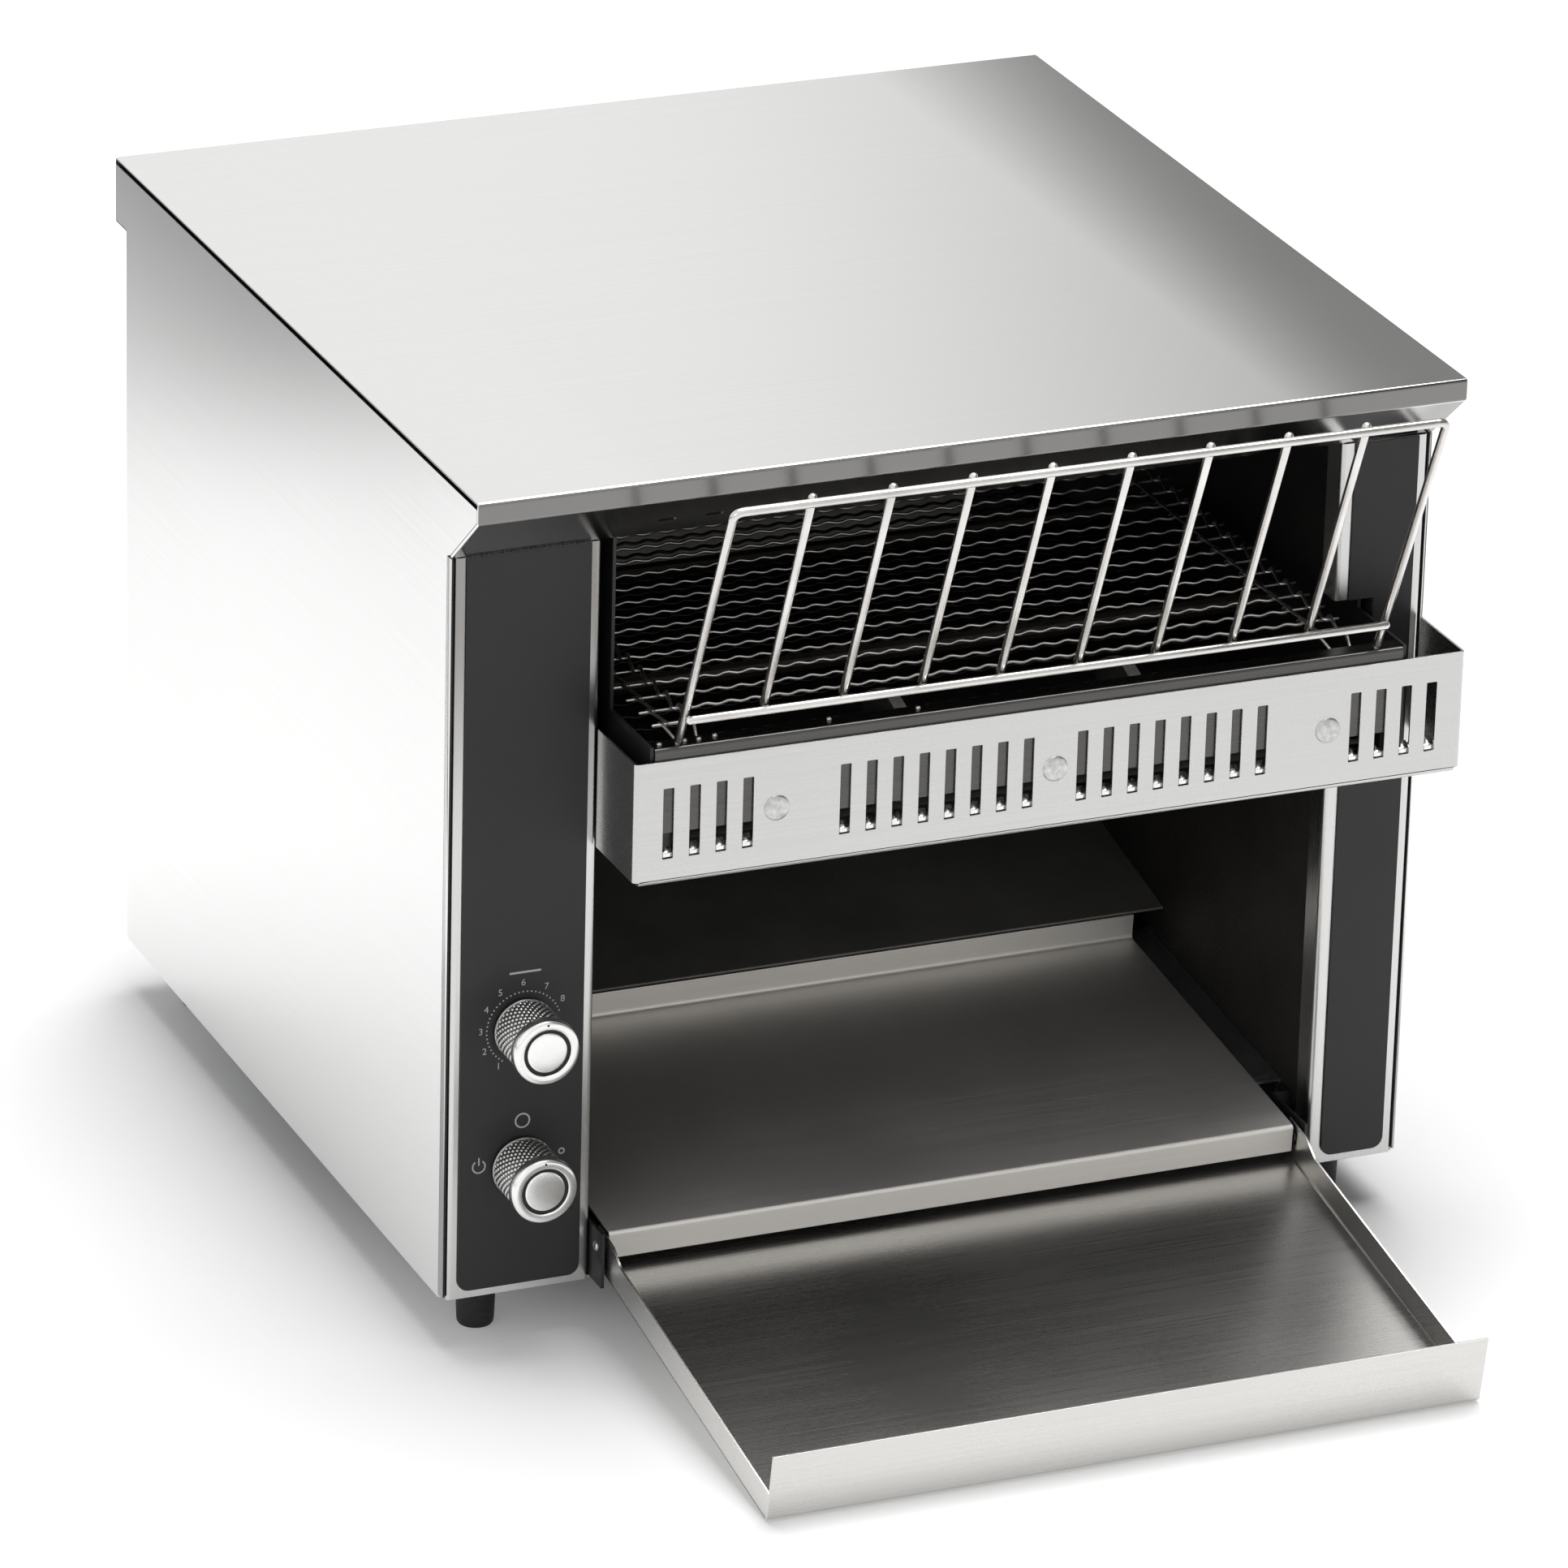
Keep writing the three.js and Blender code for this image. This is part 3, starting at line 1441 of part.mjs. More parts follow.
// Cable gland in the rear panel, empty
addPiece(
  "cord_gland",
  turnedY(
    [
      [glandBore, rearFace - sheet - glandNut],
      [glandThroat, rearFace - sheet - glandNut],
      [glandThroat, rearFace + fit],
      [glandRadius, rearFace + fit],
      [glandRadius, rearFace + glandNut],
      [glandThroat, rearFace + glandNut + glandDome],
      [glandBore, rearFace + glandNut + glandDome],
      [glandBore, rearFace - sheet - glandNut],
    ],
    smallSides,
    compartmentX,
    glandZ,
  ),
  blackPlastic,
);

export default toaster;
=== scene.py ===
"""Conveyor bun toaster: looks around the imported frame.

The object stands on z = 0 with its front towards -y. Sizes in this file are in millimetres of
the body's own frame, whose zero is midway across, at the hood's nose and under the base, and
in_row() carries them to the frame's metres.
"""

import math

import bmesh
import bpy
import numpy as np
from mathutils import Matrix, Vector


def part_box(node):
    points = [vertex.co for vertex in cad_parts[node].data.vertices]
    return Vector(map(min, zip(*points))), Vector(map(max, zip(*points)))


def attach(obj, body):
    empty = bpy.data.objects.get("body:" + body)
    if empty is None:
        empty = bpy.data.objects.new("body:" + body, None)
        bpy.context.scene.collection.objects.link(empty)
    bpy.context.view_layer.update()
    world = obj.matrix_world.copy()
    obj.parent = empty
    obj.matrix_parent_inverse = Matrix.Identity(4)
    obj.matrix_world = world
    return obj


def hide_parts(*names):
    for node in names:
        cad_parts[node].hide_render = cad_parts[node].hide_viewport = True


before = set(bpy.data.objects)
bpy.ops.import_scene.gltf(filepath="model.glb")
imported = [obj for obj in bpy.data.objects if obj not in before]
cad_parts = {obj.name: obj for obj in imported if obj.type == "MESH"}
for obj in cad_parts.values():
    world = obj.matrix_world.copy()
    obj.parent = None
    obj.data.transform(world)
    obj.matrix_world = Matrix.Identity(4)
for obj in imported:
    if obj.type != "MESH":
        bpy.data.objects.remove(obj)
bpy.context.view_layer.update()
scene = bpy.context.scene
scene.view_settings.view_transform = "Standard"

# Camera
# The photograph's view, solved from the hood's straight edges: a long lens from the front left,
# 23 degrees above the counter, with a small roll.
nose_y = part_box("top_cover")[0].y
base_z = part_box("base_pan")[0].z
row_origin = np.array([0.0, nose_y, base_z])


def in_row(points):
    """Millimetres of the body's frame to metres of the row: p / 1000 + the body's origin."""
    return np.asarray(points, float) / 1000 + row_origin


def placed(name, data):
    """A new object of the scene for a mesh, a lamp or a camera."""
    thing = bpy.data.objects.new(name, data)
    scene.collection.objects.link(thing)
    return thing


view_yaw = 0.4063
view_pitch = 0.3998
view_roll = 0.0271
lens_px = 12149.6
photo_px = 1932
sensor_mm = 36
camera_at = (-1659.15, -3647.43, 1919.73)

ahead = Vector((
    math.sin(view_yaw) * math.cos(view_pitch),
    math.cos(view_yaw) * math.cos(view_pitch),
    -math.sin(view_pitch),
))
level = Vector((math.cos(view_yaw), -math.sin(view_yaw), 0))
upright = level.cross(ahead)
right = level * math.cos(view_roll) + upright * math.sin(view_roll)
above = upright * math.cos(view_roll) - level * math.sin(view_roll)
turn = Matrix((right, above, -ahead)).transposed().to_4x4()
camera_data = bpy.data.cameras.new("camera")
camera_data.sensor_width = sensor_mm
camera_data.lens = lens_px / photo_px * sensor_mm
camera_data.clip_start = 0.1
camera_data.clip_end = 60
camera = placed("camera", camera_data)
camera.matrix_world = Matrix.Translation(Vector(in_row(camera_at))) @ turn
scene.camera = camera

# Studio
# A white counter that runs past every edge of the view, painted darker towards its far left
# corner as a painted shade and given a painted glow that grows away from the body, one wide
# soft lamp overhead to the right, a weak one from the left, and a pale room whose right-hand
# end is grey. The sheet metal mirrors all of it.
floor_half = 14.0
floor_white = (0.82, 0.82, 0.82)
floor_shade = (0.26, 0.26, 0.26)
glow_most = 0.27
glow_centre = (-0.11, -0.12, 0.0)
room_light = 0.27
room_pale = (0.96, 0.96, 0.955)
room_grey = (0.22, 0.22, 0.215)


def plug(tree, socket, value):
    """Fills a socket with a value, or links it to another node's output."""
    if isinstance(value, bpy.types.NodeSocket):
        tree.links.new(value, socket)
    else:
        socket.default_value = value


def new_node(tree, kind, group=None, **values):
    """A shader node of a kind, or of a group, with its sockets filled by name."""
    node = tree.nodes.new(kind)
    if group:
        node.node_tree = group
    for name, value in values.items():
        plug(tree, node.inputs[name.replace("_", " ")], value)
    return node


def combined(tree, operation, first, second, kind="ShaderNodeMath"):
    """Two masks, or a mask and a number, through one step of arithmetic."""
    node = tree.nodes.new(kind)
    node.operation = operation
    plug(tree, node.inputs[0], first)
    plug(tree, node.inputs[1], second)
    return node.outputs[0]


def smoothed(tree, value, start, end):
    """A mask that rises softly from 0 at start to 1 at end."""
    node = new_node(tree, "ShaderNodeMapRange", Value=value, From_Min=start, From_Max=end)
    node.interpolation_type = "SMOOTHSTEP"
    return node.outputs[0]


def blended(tree, mask, first, second):
    """A colour between two, by a mask. Either colour may be another node's."""
    node = tree.nodes.new("ShaderNodeMix")
    node.data_type = "RGBA"
    for number, value in ((0, mask), (6, first), (7, second)):
        plug(tree, node.inputs[number], (*value, 1) if isinstance(value, tuple) else value)
    return node.outputs[2]


def axes(tree, kind="Object"):
    """A place's X, Y and Z as three outputs, in the object's metres or along a ray."""
    place = tree.nodes.new("ShaderNodeTexCoord")
    return new_node(tree, "ShaderNodeSeparateXYZ", Vector=place.outputs[kind]).outputs


def split_rays(tree, out_kind, carrying, seen):
    """One shader for the rays that carry light, and another for what the camera sees, straight,
    in a mirror or through glass, where the greatest of the three ray masks is one."""
    ray = tree.nodes.new("ShaderNodeLightPath").outputs
    mirrored = combined(tree, "MAXIMUM", ray["Is Camera Ray"], ray["Is Glossy Ray"])
    in_view = combined(tree, "MAXIMUM", mirrored, ray["Is Transmission Ray"])
    choose = tree.nodes.new("ShaderNodeMixShader")
    for socket, value in zip(choose.inputs, (in_view, carrying.outputs[0], seen.outputs[0])):
        tree.links.new(value, socket)
    new_node(tree, out_kind, Surface=choose.outputs[0])


def empty_tree(owner):
    """The node tree of a material or of the world, with nothing in it."""
    owner.use_nodes = True
    owner.node_tree.nodes.clear()
    return owner.node_tree


floor_material = bpy.data.materials.new("counter_white")
tree = empty_tree(floor_material)
place = tree.nodes.new("ShaderNodeTexCoord")
centred = new_node(
    tree, "ShaderNodeMapping", Vector=place.outputs["Object"], Location=glow_centre)
away = tree.nodes.new("ShaderNodeVectorMath")
away.operation = "LENGTH"
tree.links.new(centred.outputs[0], away.inputs[0])
spot = axes(tree)
# The far left corner is painted darker, a painted shade, and the glow is painted light that grows
# away from the body.
corner_shade_mask = combined(
    tree, "MULTIPLY", smoothed(tree, spot["X"], -0.43, -0.65),
    smoothed(tree, spot["Y"], 0.82, 1.16))
floor_tone = blended(tree, corner_shade_mask, floor_white, floor_shade)
paint = new_node(tree, "ShaderNodeBsdfDiffuse", Color=floor_tone)
far_glow = combined(
    tree, "MULTIPLY", smoothed(tree, away.outputs["Value"], 0.26, 0.46), glow_most)
lit = combined(tree, "SUBTRACT", 1.0, corner_shade_mask)
glow_strength = combined(tree, "MULTIPLY", far_glow, lit)
glow = new_node(tree, "ShaderNodeEmission", Strength=glow_strength)
both = tree.nodes.new("ShaderNodeAddShader")
tree.links.new(paint.outputs[0], both.inputs[0])
tree.links.new(glow.outputs[0], both.inputs[1])
split_rays(tree, "ShaderNodeOutputMaterial", paint, both)

floor_mesh = bpy.data.meshes.new("counter")
corners = floor_half * np.array([[-1, -1, 0], [1, -1, 0], [1, 1, 0], [-1, 1, 0]], float)
floor_mesh.from_pydata(corners.tolist(), [], [(0, 1, 2, 3)])
floor_mesh.materials.append(floor_material)
floor = placed("counter", floor_mesh)


def soft_lamp(name, size, power, place, target):
    """A square area lamp at a place in metres, turned to a target."""
    data = bpy.data.lights.new(name, "AREA")
    data.shape = "SQUARE"
    data.size = size
    data.energy = power
    lamp = placed(name, data)
    lamp.location = place
    lamp.rotation_euler = (Vector(target) - Vector(place)).to_track_quat("-Z", "Y").to_euler()


soft_lamp("lamp_overhead", 2.6, 134, (0.55, 0.35, 3.4), (0, 0.1, 0.2))
soft_lamp("lamp_left", 1.6, 6, (-2.4, -1.6, 1.5), (0, 0, 0.2))

world = bpy.data.worlds.new("studio")
scene.world = world
tree = empty_tree(world)
lighting = new_node(tree, "ShaderNodeBackground", Color=(1, 1, 1, 1), Strength=room_light)
way = axes(tree, "Generated")
grey_end = combined(
    tree, "MULTIPLY", smoothed(tree, way["X"], 0.352, 0.468), smoothed(tree, way["Z"], 0.05, 0.18))
room_tone = blended(tree, grey_end, room_pale, room_grey)
shown = new_node(tree, "ShaderNodeBackground", Color=room_tone, Strength=1.0)
split_rays(tree, "ShaderNodeOutputWorld", lighting, shown)

# Base pan
# Galvanised sheet turned up at its sides and rear and spot welded at the corners. Everything
# else is screwed to it. Zinc leaves a soft mottled tone.


def new_group(name, inputs, outputs):
    """A node group with inputs by name and kind and with number outputs, and its end nodes."""
    group = bpy.data.node_groups.new(name, "ShaderNodeTree")
    for socket, kind in inputs.items():
        group.interface.new_socket(socket, in_out="INPUT", socket_type=kind)
    for socket in outputs:
        group.interface.new_socket(socket, in_out="OUTPUT", socket_type="NodeSocketFloat")
    return group, group.nodes.new("NodeGroupInput"), group.nodes.new("NodeGroupOutput")


def mottle_group():
    """Two noises at the object's own scale as masks from 0 to 1: Fine for a surface's tooth and
    Broad for slow changes of tone. The inputs are their scales per metre."""
    group, entry, leave = new_group(
        "mottle", {"Fine Scale": "NodeSocketFloat", "Broad Scale": "NodeSocketFloat"},
        ("Fine", "Broad"))
    place = group.nodes.new("ShaderNodeTexCoord")
    for name, detail in (("Fine", 2.0), ("Broad", 4.0)):
        noise = new_node(
            group, "ShaderNodeTexNoise", Vector=place.outputs["Object"],
            Scale=entry.outputs[f"{name} Scale"], Detail=detail, Roughness=0.55)
        spread = new_node(
            group, "ShaderNodeMapRange", Value=noise.outputs["Fac"], From_Min=0.3, From_Max=0.7)
        group.links.new(spread.outputs[0], leave.inputs[name])
    return group


mottle = mottle_group()


def finished(tree, tone, gloss, height, pale, dark, rough, bump=0.004, painted_shade=None, **values):
    """One Principled shader, uniform values on its own sockets, the rest driven by three masks:
    tone its colour from pale to dark, gloss its roughness over a range, and height its normal,
    by bump in mm. A place's mask and a darker colour, when given, paint a shade there."""
    colour = blended(tree, tone, pale, dark)
    if painted_shade:
        colour = blended(tree, painted_shade[0](tree), colour, painted_shade[1])
    span = new_node(tree, "ShaderNodeMapRange", Value=gloss, To_Min=rough[0], To_Max=rough[1])
    relief = new_node(tree, "ShaderNodeBump", Height=height, Strength=0.4, Distance=bump / 1000)
    shader = new_node(
        tree, "ShaderNodeBsdfPrincipled", Base_Color=colour, Roughness=span.outputs[0],
        Normal=relief.outputs[0], **values)
    new_node(tree, "ShaderNodeOutputMaterial", Surface=shader.outputs[0])


def mottled(name, pale, dark, rough, fine=900.0, broad=16.0, bump=0.02, painted_shade=None, **values):
    """A finish whose tone drifts between two colours and whose fine tooth moves its roughness
    and its normal."""
    material = bpy.data.materials.new(name)
    tree = empty_tree(material)
    masks = new_node(tree, "ShaderNodeGroup", mottle, Fine_Scale=fine, Broad_Scale=broad).outputs
    finished(
        tree, masks["Broad"], masks["Fine"], masks["Fine"], pale, dark, rough, bump, painted_shade, **values)
    return material


def dress(material, *names):
    """Gives CAD nodes that keep their shape a new material."""
    for name in names:
        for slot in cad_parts[name].material_slots:
            slot.material = material


galvanised = mottled(
    "galvanised", (0.50, 0.51, 0.52), (0.38, 0.39, 0.40), (0.38, 0.55), fine=420.0, broad=55.0,
    Metallic=1.0)
dress(galvanised, "base_pan")

# Feet
# Four moulded rubber feet, tapered, each screwed up through a washer sunk in its sole. The top
# ring is a little wider where it seats on the pan.
foot_height = 25.4
weld_distance = 2e-6


def surface_piece(name, grids, around=False, capped=(), left_out=(), holes=(), crease=38):
    """Grids of points, in mm of the body's frame, joined into four-sided faces. around joins
    the last column to the first, and capped names the rows that a flat face closes. In the
    first grid a cell of left_out stays open, and the cell of a hole, which comes with its ring
    of points, becomes four faces round that ring. Grids that touch are welded."""
    points = []
    faces = []
    ringed = dict(holes)
    opened = [*left_out, *ringed]
    corners = {}
    first = 0
    for number, grid in enumerate(grids):
        rows, columns = grid.shape[:2]
        index = first + np.arange(rows * columns).reshape(rows, columns)
        if around:
            index = np.concatenate([index, index[:, :1]], 1)
        quads = np.stack([index[:-1, :-1], index[:-1, 1:], index[1:, 1:], index[1:, :-1]], -1)
        kept = np.ones(quads.shape[:2], bool)
        if number == 0 and opened:
            kept[tuple(np.transpose(opened))] = False
            corners = {cell: quads[cell] for cell in ringed}
        faces += quads[kept].tolist()
        faces += [index[row, :columns].tolist() for row in capped]
        points.append(grid.reshape(-1, 3))
        first += rows * columns
    for cell, ring in ringed.items():
        quarter = len(ring) // 4
        index = first + np.arange(len(ring) + 1) % len(ring)
        for side in range(4):
            span = index[side * quarter:(side + 1) * quarter + 1]
            faces.append([corners[cell][side], corners[cell][(side + 1) % 4], *span[::-1]])
        points.append(ring)
        first += len(ring)
    mesh = bpy.data.meshes.new(name)
    mesh.from_pydata(in_row(np.concatenate(points)).tolist(), [], faces)
    work = bmesh.new()
    work.from_mesh(mesh)
    bmesh.ops.remove_doubles(work, verts=work.verts, dist=weld_distance)
    if capped:
        bmesh.ops.recalc_face_normals(work, faces=work.faces)
    work.to_mesh(mesh)
    work.free()
    mesh.shade_smooth()
    mesh.set_sharp_from_angle(angle=math.radians(crease))
    return placed(name, mesh)


def turned(profile, centre, axis, sides=48):
    """A profile carried round an axis: each point is centre + axis * distance + radius *
    (u cos a + v sin a), where u and v are square to the axis and to each other."""
    radius, reach = np.asarray(profile, float).T
    axis = np.asarray(axis, float)
    u = np.array([0.0, 1.0, 0.0]) if abs(axis[0]) > 0.5 else np.array([1.0, 0.0, 0.0])
    v = np.cross(axis, u)
    angle = np.linspace(0, 2 * math.pi, sides, endpoint=False)
    circle = np.cos(angle)[:, None] * u + np.sin(angle)[:, None] * v
    spine = np.asarray(centre, float) + reach[:, None] * axis
    return spine[:, None, :] + radius[:, None, None] * circle


def lathed(name, profile, places, axis, sides=48, crease=38):
    """A profile turned at each place about one axis, closed by flat ends, as one piece."""
    grids = [turned(profile, place, axis, sides) for place in places]
    return surface_piece(name, grids, around=True, capped=(0, -1), crease=crease)


def settle(piece, body, slot, material, *nodes):
    """Hands a piece to its body, material and the nodes it stands for. slot is not used."""
    piece.data.materials.append(material)
    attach(piece, body)
    if nodes:
        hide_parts(*nodes)


moulded_rubber = mottled(
    "moulded_rubber", (0.016, 0.016, 0.017), (0.009, 0.009, 0.010), (0.55, 0.78), fine=1400.0,
    broad=60.0, bump=0.03)
foot_profile = [
    (9.4, 0), (10.0, 0.5), (10.0, 3.4), (9.6, 4.0), (9.1, 4.5), (8.7, 18.0), (8.5, 22.6),
    (8.3, 24.4), (7.6, foot_height), (3.6, foot_height), (3.4, foot_height - 0.3), (3.4, 22.0),
]
for end, foot_y in (("front", 57.0), ("rear", 425.0)):
    for hand, foot_x in (("left", -209.0), ("right", 209.0)):
        name = f"rubber_foot_{end}_{hand}"
        foot = lathed(name, foot_profile, [(foot_x, foot_y, 0)], (0, 0, -1))
        settle(foot, "housing", "rubber", moulded_rubber, f"foot_{end}_{hand}")

# Side panels
# Flat stainless sheets that follow the hood's outline, brushed from front to back.


def grain_group():
    """Brushed grain: noise stretched along the brushing, as a mask, and a cloudy mask over it.
    Inputs are the stretch per axis and the cloud's scale; outputs are Grain and Cloud."""
    group, entry, leave = new_group(
        "brushed_grain", {"Stretch": "NodeSocketVector", "Cloud Scale": "NodeSocketFloat"},
        ("Grain", "Cloud"))
    place = group.nodes.new("ShaderNodeTexCoord")
    stretched = combined(
        group, "MULTIPLY", place.outputs["Object"], entry.outputs["Stretch"],
        "ShaderNodeVectorMath")
    noise = new_node(
        group, "ShaderNodeTexNoise", Vector=stretched, Scale=1.0, Detail=4.0, Roughness=0.6)
    cloud = new_node(
        group, "ShaderNodeTexNoise", Vector=place.outputs["Object"],
        Scale=entry.outputs["Cloud Scale"], Detail=2.0, Roughness=0.5)
    group.links.new(noise.outputs["Fac"], leave.inputs["Grain"])
    group.links.new(cloud.outputs["Fac"], leave.inputs["Cloud"])
    return group


grain = grain_group()


def brushed_steel(name, stretch, pale, dark, rough=(0.2, 0.34), cloud=4.0, painted_shade=None):
    """Sheet steel with a brushed grain: the grain moves colour and roughness a little, and a
    cloudy mask gives the slow changes of handled sheet."""
    material = bpy.data.materials.new(name)
    tree = empty_tree(material)
    masks = new_node(tree, "ShaderNodeGroup", grain, Stretch=stretch, Cloud_Scale=cloud).outputs
    rubbed = combined(tree, "MULTIPLY", masks["Grain"], masks["Cloud"])
    doubled = combined(tree, "MULTIPLY", rubbed, 2.0)
    finished(
        tree, masks["Grain"], doubled, masks["Grain"], pale, dark, rough, painted_shade=painted_shade, Metallic=1.0)
    return material


across = (6.0, 1800.0, 1800.0)
lengthways = (1800.0, 6.0, 1800.0)
downwards = (1800.0, 1800.0, 6.0)
panel_steel = brushed_steel(
    "panel_steel", lengthways, (0.81, 0.81, 0.805), (0.75, 0.75, 0.745), rough=(0.16, 0.26))
dress(panel_steel, "left_side_panel", "right_side_panel")

# Hood
# One stainless sheet folded over nose, top and rear lip, brushed from side to side. Its bends
# are round, its side edges turn down over the panels, and two pairs of oblong holes for an
# accessory go through the chamfer.
sheet = 1.2
half_width = 235.0
body_top = 391.6
hood_depth = 471.7
fascia_y = 31.3


def unit(vectors):
    """Each vector over its own length."""
    return vectors / np.linalg.norm(vectors, axis=-1, keepdims=True)


def rounded_line(points, radii, steps=6):
    """A line with round corners, of one radius or one each: each corner becomes the arc that
    touches both its sides at radius / tan(half the corner's angle), turned in equal steps about
    the arc's centre. A point a quarter of the radius before and after it keeps the flats'
    shading flat."""
    points = np.asarray(points, float)
    made = [points[:1]]
    radii = np.broadcast_to(radii, len(points) - 2)
    for before, corner, after, radius in zip(points[:-2], points[1:-1], points[2:], radii):
        u = unit(before - corner)
        v = unit(after - corner)
        half = math.acos(np.clip(u @ v, -1, 1)) / 2
        middle = corner + unit(u + v) * radius / math.sin(half)
        start = corner + u * radius / math.tan(half) - middle
        end = corner + v * radius / math.tan(half) - middle
        sweep = math.atan2(start[0] * end[1] - start[1] * end[0], start @ end)
        angles = sweep * np.linspace(0, 1, steps + 1)
        cosine, sine = np.cos(angles), np.sin(angles)
        arc = middle + np.stack(
            [cosine * start[0] - sine * start[1], sine * start[0] + cosine * start[1]], 1)
        made += [arc[:1] + u * radius / 4, arc, arc[-1:] + v * radius / 4]
    made.append(points[-1:])
    return np.concatenate(made)


def inward_normals(line):
    """The mitre direction at each point of a line: the sum of its two sides' right-hand normals,
    over one plus their dot product, so an offset keeps its distance from both sides."""
    along = unit(np.diff(line, axis=0))
    rights = np.stack([along[:, 1], -along[:, 0]], 1)
    first = np.concatenate([rights[:1], rights])
    second = np.concatenate([rights, rights[-1:]])
    return (first + second) / (1 + (first * second).sum(1))[:, None]


def opening(middle, along, upward, half_length, half_height, corner):
    """A ring of points round a hole with round corners: middle + along * p + upward * q, where
    p and q are the straight part's sign times its half length plus the corner's cosine and
    sine, from the lower left corner round."""
    angle = np.radians(np.arange(-135, 225, 22.5))
    cosine = np.round(np.cos(angle), 9)
    sine = np.round(np.sin(angle), 9)
    p = (half_length - corner) * np.sign(cosine) + corner * cosine
    q = (half_height - corner) * np.sign(sine) + corner * sine
    return middle + p[:, None] * np.asarray(along, float) + q[:, None] * np.asarray(upward, float)


def swept(line, xs):
    """A line in y and z at each x: the grid of points (x, y, z)."""
    grid = np.empty((len(line), len(xs), 3))
    grid[..., 0] = xs
    grid[..., 1:] = np.asarray(line)[:, None, :]
    return grid


def raised(plan, heights):
    """A line in x and y at each height: the grid of points (x, y, height)."""
    return swept(plan, heights)[..., [1, 2, 0]]


def thicken(piece, thickness):
    """Gives a sheet its thickness on one side of its surface, with clean rim walls."""
    modifier = piece.modifiers.new("thickness", "SOLIDIFY")
    modifier.thickness = thickness / 1000
    modifier.offset = -1
    modifier.use_even_offset = True


def soften_edges(piece, width, segments=2, angle=40):
    """Rounds every edge sharper than an angle, so that it catches the light."""
    modifier = piece.modifiers.new("edges", "BEVEL")
    modifier.width = width / 1000
    modifier.segments = segments
    modifier.limit_method = "ANGLE"
    modifier.angle_limit = math.radians(angle)
    modifier.harden_normals = True


def sheet_piece(name, grids, edge=0.2, thickness=sheet, **options):
    """Grids made a sheet of one thickness, with its edges rounded."""
    piece = surface_piece(name, grids, **options)
    thicken(piece, thickness)
    soften_edges(piece, edge)
    return piece


def nose_face(tree):
    """One where the hood is painted darker: on the narrow upright face at the very front, a
    painted shade for the darker room that the nose mirrors, and at the chamfer's right end,
    darker. Behind the nose it fades out within a millimetre."""
    spot = axes(tree)
    front = smoothed(tree, spot["Y"], nose_y + 0.0007, nose_y + 0.0002)
    below = smoothed(tree, spot["Z"], base_z + 0.3812, base_z + 0.3802)
    end = combined(tree, "MULTIPLY", below, smoothed(tree, spot["X"], 0.185, 0.225))
    return combined(tree, "MAXIMUM", front, end)


# The nose face is painted darker, a painted shade, and the chamfer's right end is painted darker
# too.
hood_steel = brushed_steel(
    "hood_steel", across, (0.86, 0.86, 0.85), (0.79, 0.79, 0.78), rough=(0.12, 0.20),
    painted_shade=(nose_face, (0.23, 0.225, 0.22)))
hood_line = rounded_line(
    [(fascia_y, 355.0), (0, 381.6), (0, body_top), (hood_depth, body_top),
     (hood_depth, 359.0), (456.3, 359.0)],
    [1.6, 1.6, 1.8, 1.6], 5)
chamfer_run = unit(hood_line[1] - hood_line[0])
keyhole_run = 16.0
keyhole_reach = 8.0
keyhole_cell = 7.0
keyhole_xs = np.array([-140.0, -118.0, 118.0, 140.0])
chamfer_stops = hood_line[0] + chamfer_run * np.array(
    [[keyhole_run - keyhole_reach], [keyhole_run + keyhole_reach]])
hood_line = np.concatenate([hood_line[:1], chamfer_stops, hood_line[1:]])
hem = 1.15
hem_turn = np.linspace(0, math.pi / 2, 5)
hem_radius = 0.9
side_x = np.append(half_width - hem_radius + hem_radius * np.sin(hem_turn), half_width)
side_drop = np.append(hem_radius * (1 - np.cos(hem_turn)), hem)
inner_x = np.sort(np.concatenate([keyhole_xs - keyhole_cell, keyhole_xs + keyhole_cell]))
cross_x = np.concatenate([-side_x[::-1], inner_x, side_x])
cross_drop = np.concatenate([side_drop[::-1], np.zeros(len(inner_x)), side_drop])
hood_grid = swept(hood_line, cross_x)
hood_grid[..., 1:] += cross_drop[None, :, None] * inward_normals(hood_line)[:, None, :]
keyhole_y, keyhole_z = hood_line[0] + chamfer_run * keyhole_run
keyholes = [
    ((1, int(np.argmin(abs(cross_x - (x - keyhole_cell))))),
     opening((x, keyhole_y, keyhole_z), (1, 0, 0), (0, *chamfer_run), 4.5, 2.0, 1.99))
    for x in keyhole_xs
]
hood = sheet_piece("hood", [hood_grid], holes=keyholes)
settle(hood, "housing", "stainless", hood_steel, "top_cover")

# Rear panel
# A stainless back sheet with louvre slots high up and a slotted grille over the fan. Low domed
# screws hold it.
rear_y = 456.0
dress(panel_steel, "rear_panel")
screw_dome = [(3.9, 0.0), (3.9, 0.5), (3.5, 1.15), (2.6, 1.6), (1.5, 1.85), (0.5, 1.9)]
screw_steel = mottled(
    "screw_steel", (0.62, 0.62, 0.61), (0.50, 0.50, 0.49), (0.24, 0.38), fine=700.0, Metallic=1.0)
rear_places = [(x, rear_y, z) for z in (18.0, 190.0, 340.0) for x in (-222.0, 222.0)]
rear_places += [(x, rear_y, 18.0) for x in (-75.0, 75.0)]
rear_screws = lathed("rear_screws", screw_dome, rear_places, (0, 1, 0), 24)
settle(rear_screws, "housing", "chrome", screw_steel)

# Columns
# The two front sheets beside the opening, folded back at both edges and brushed upright. The
# right one is cut away where the conveyor's arm passes.
column_top = 354.5
column_return = 14.0
right_notch = 209.0
notch_bottom = 205.0
notch_top = 279.0


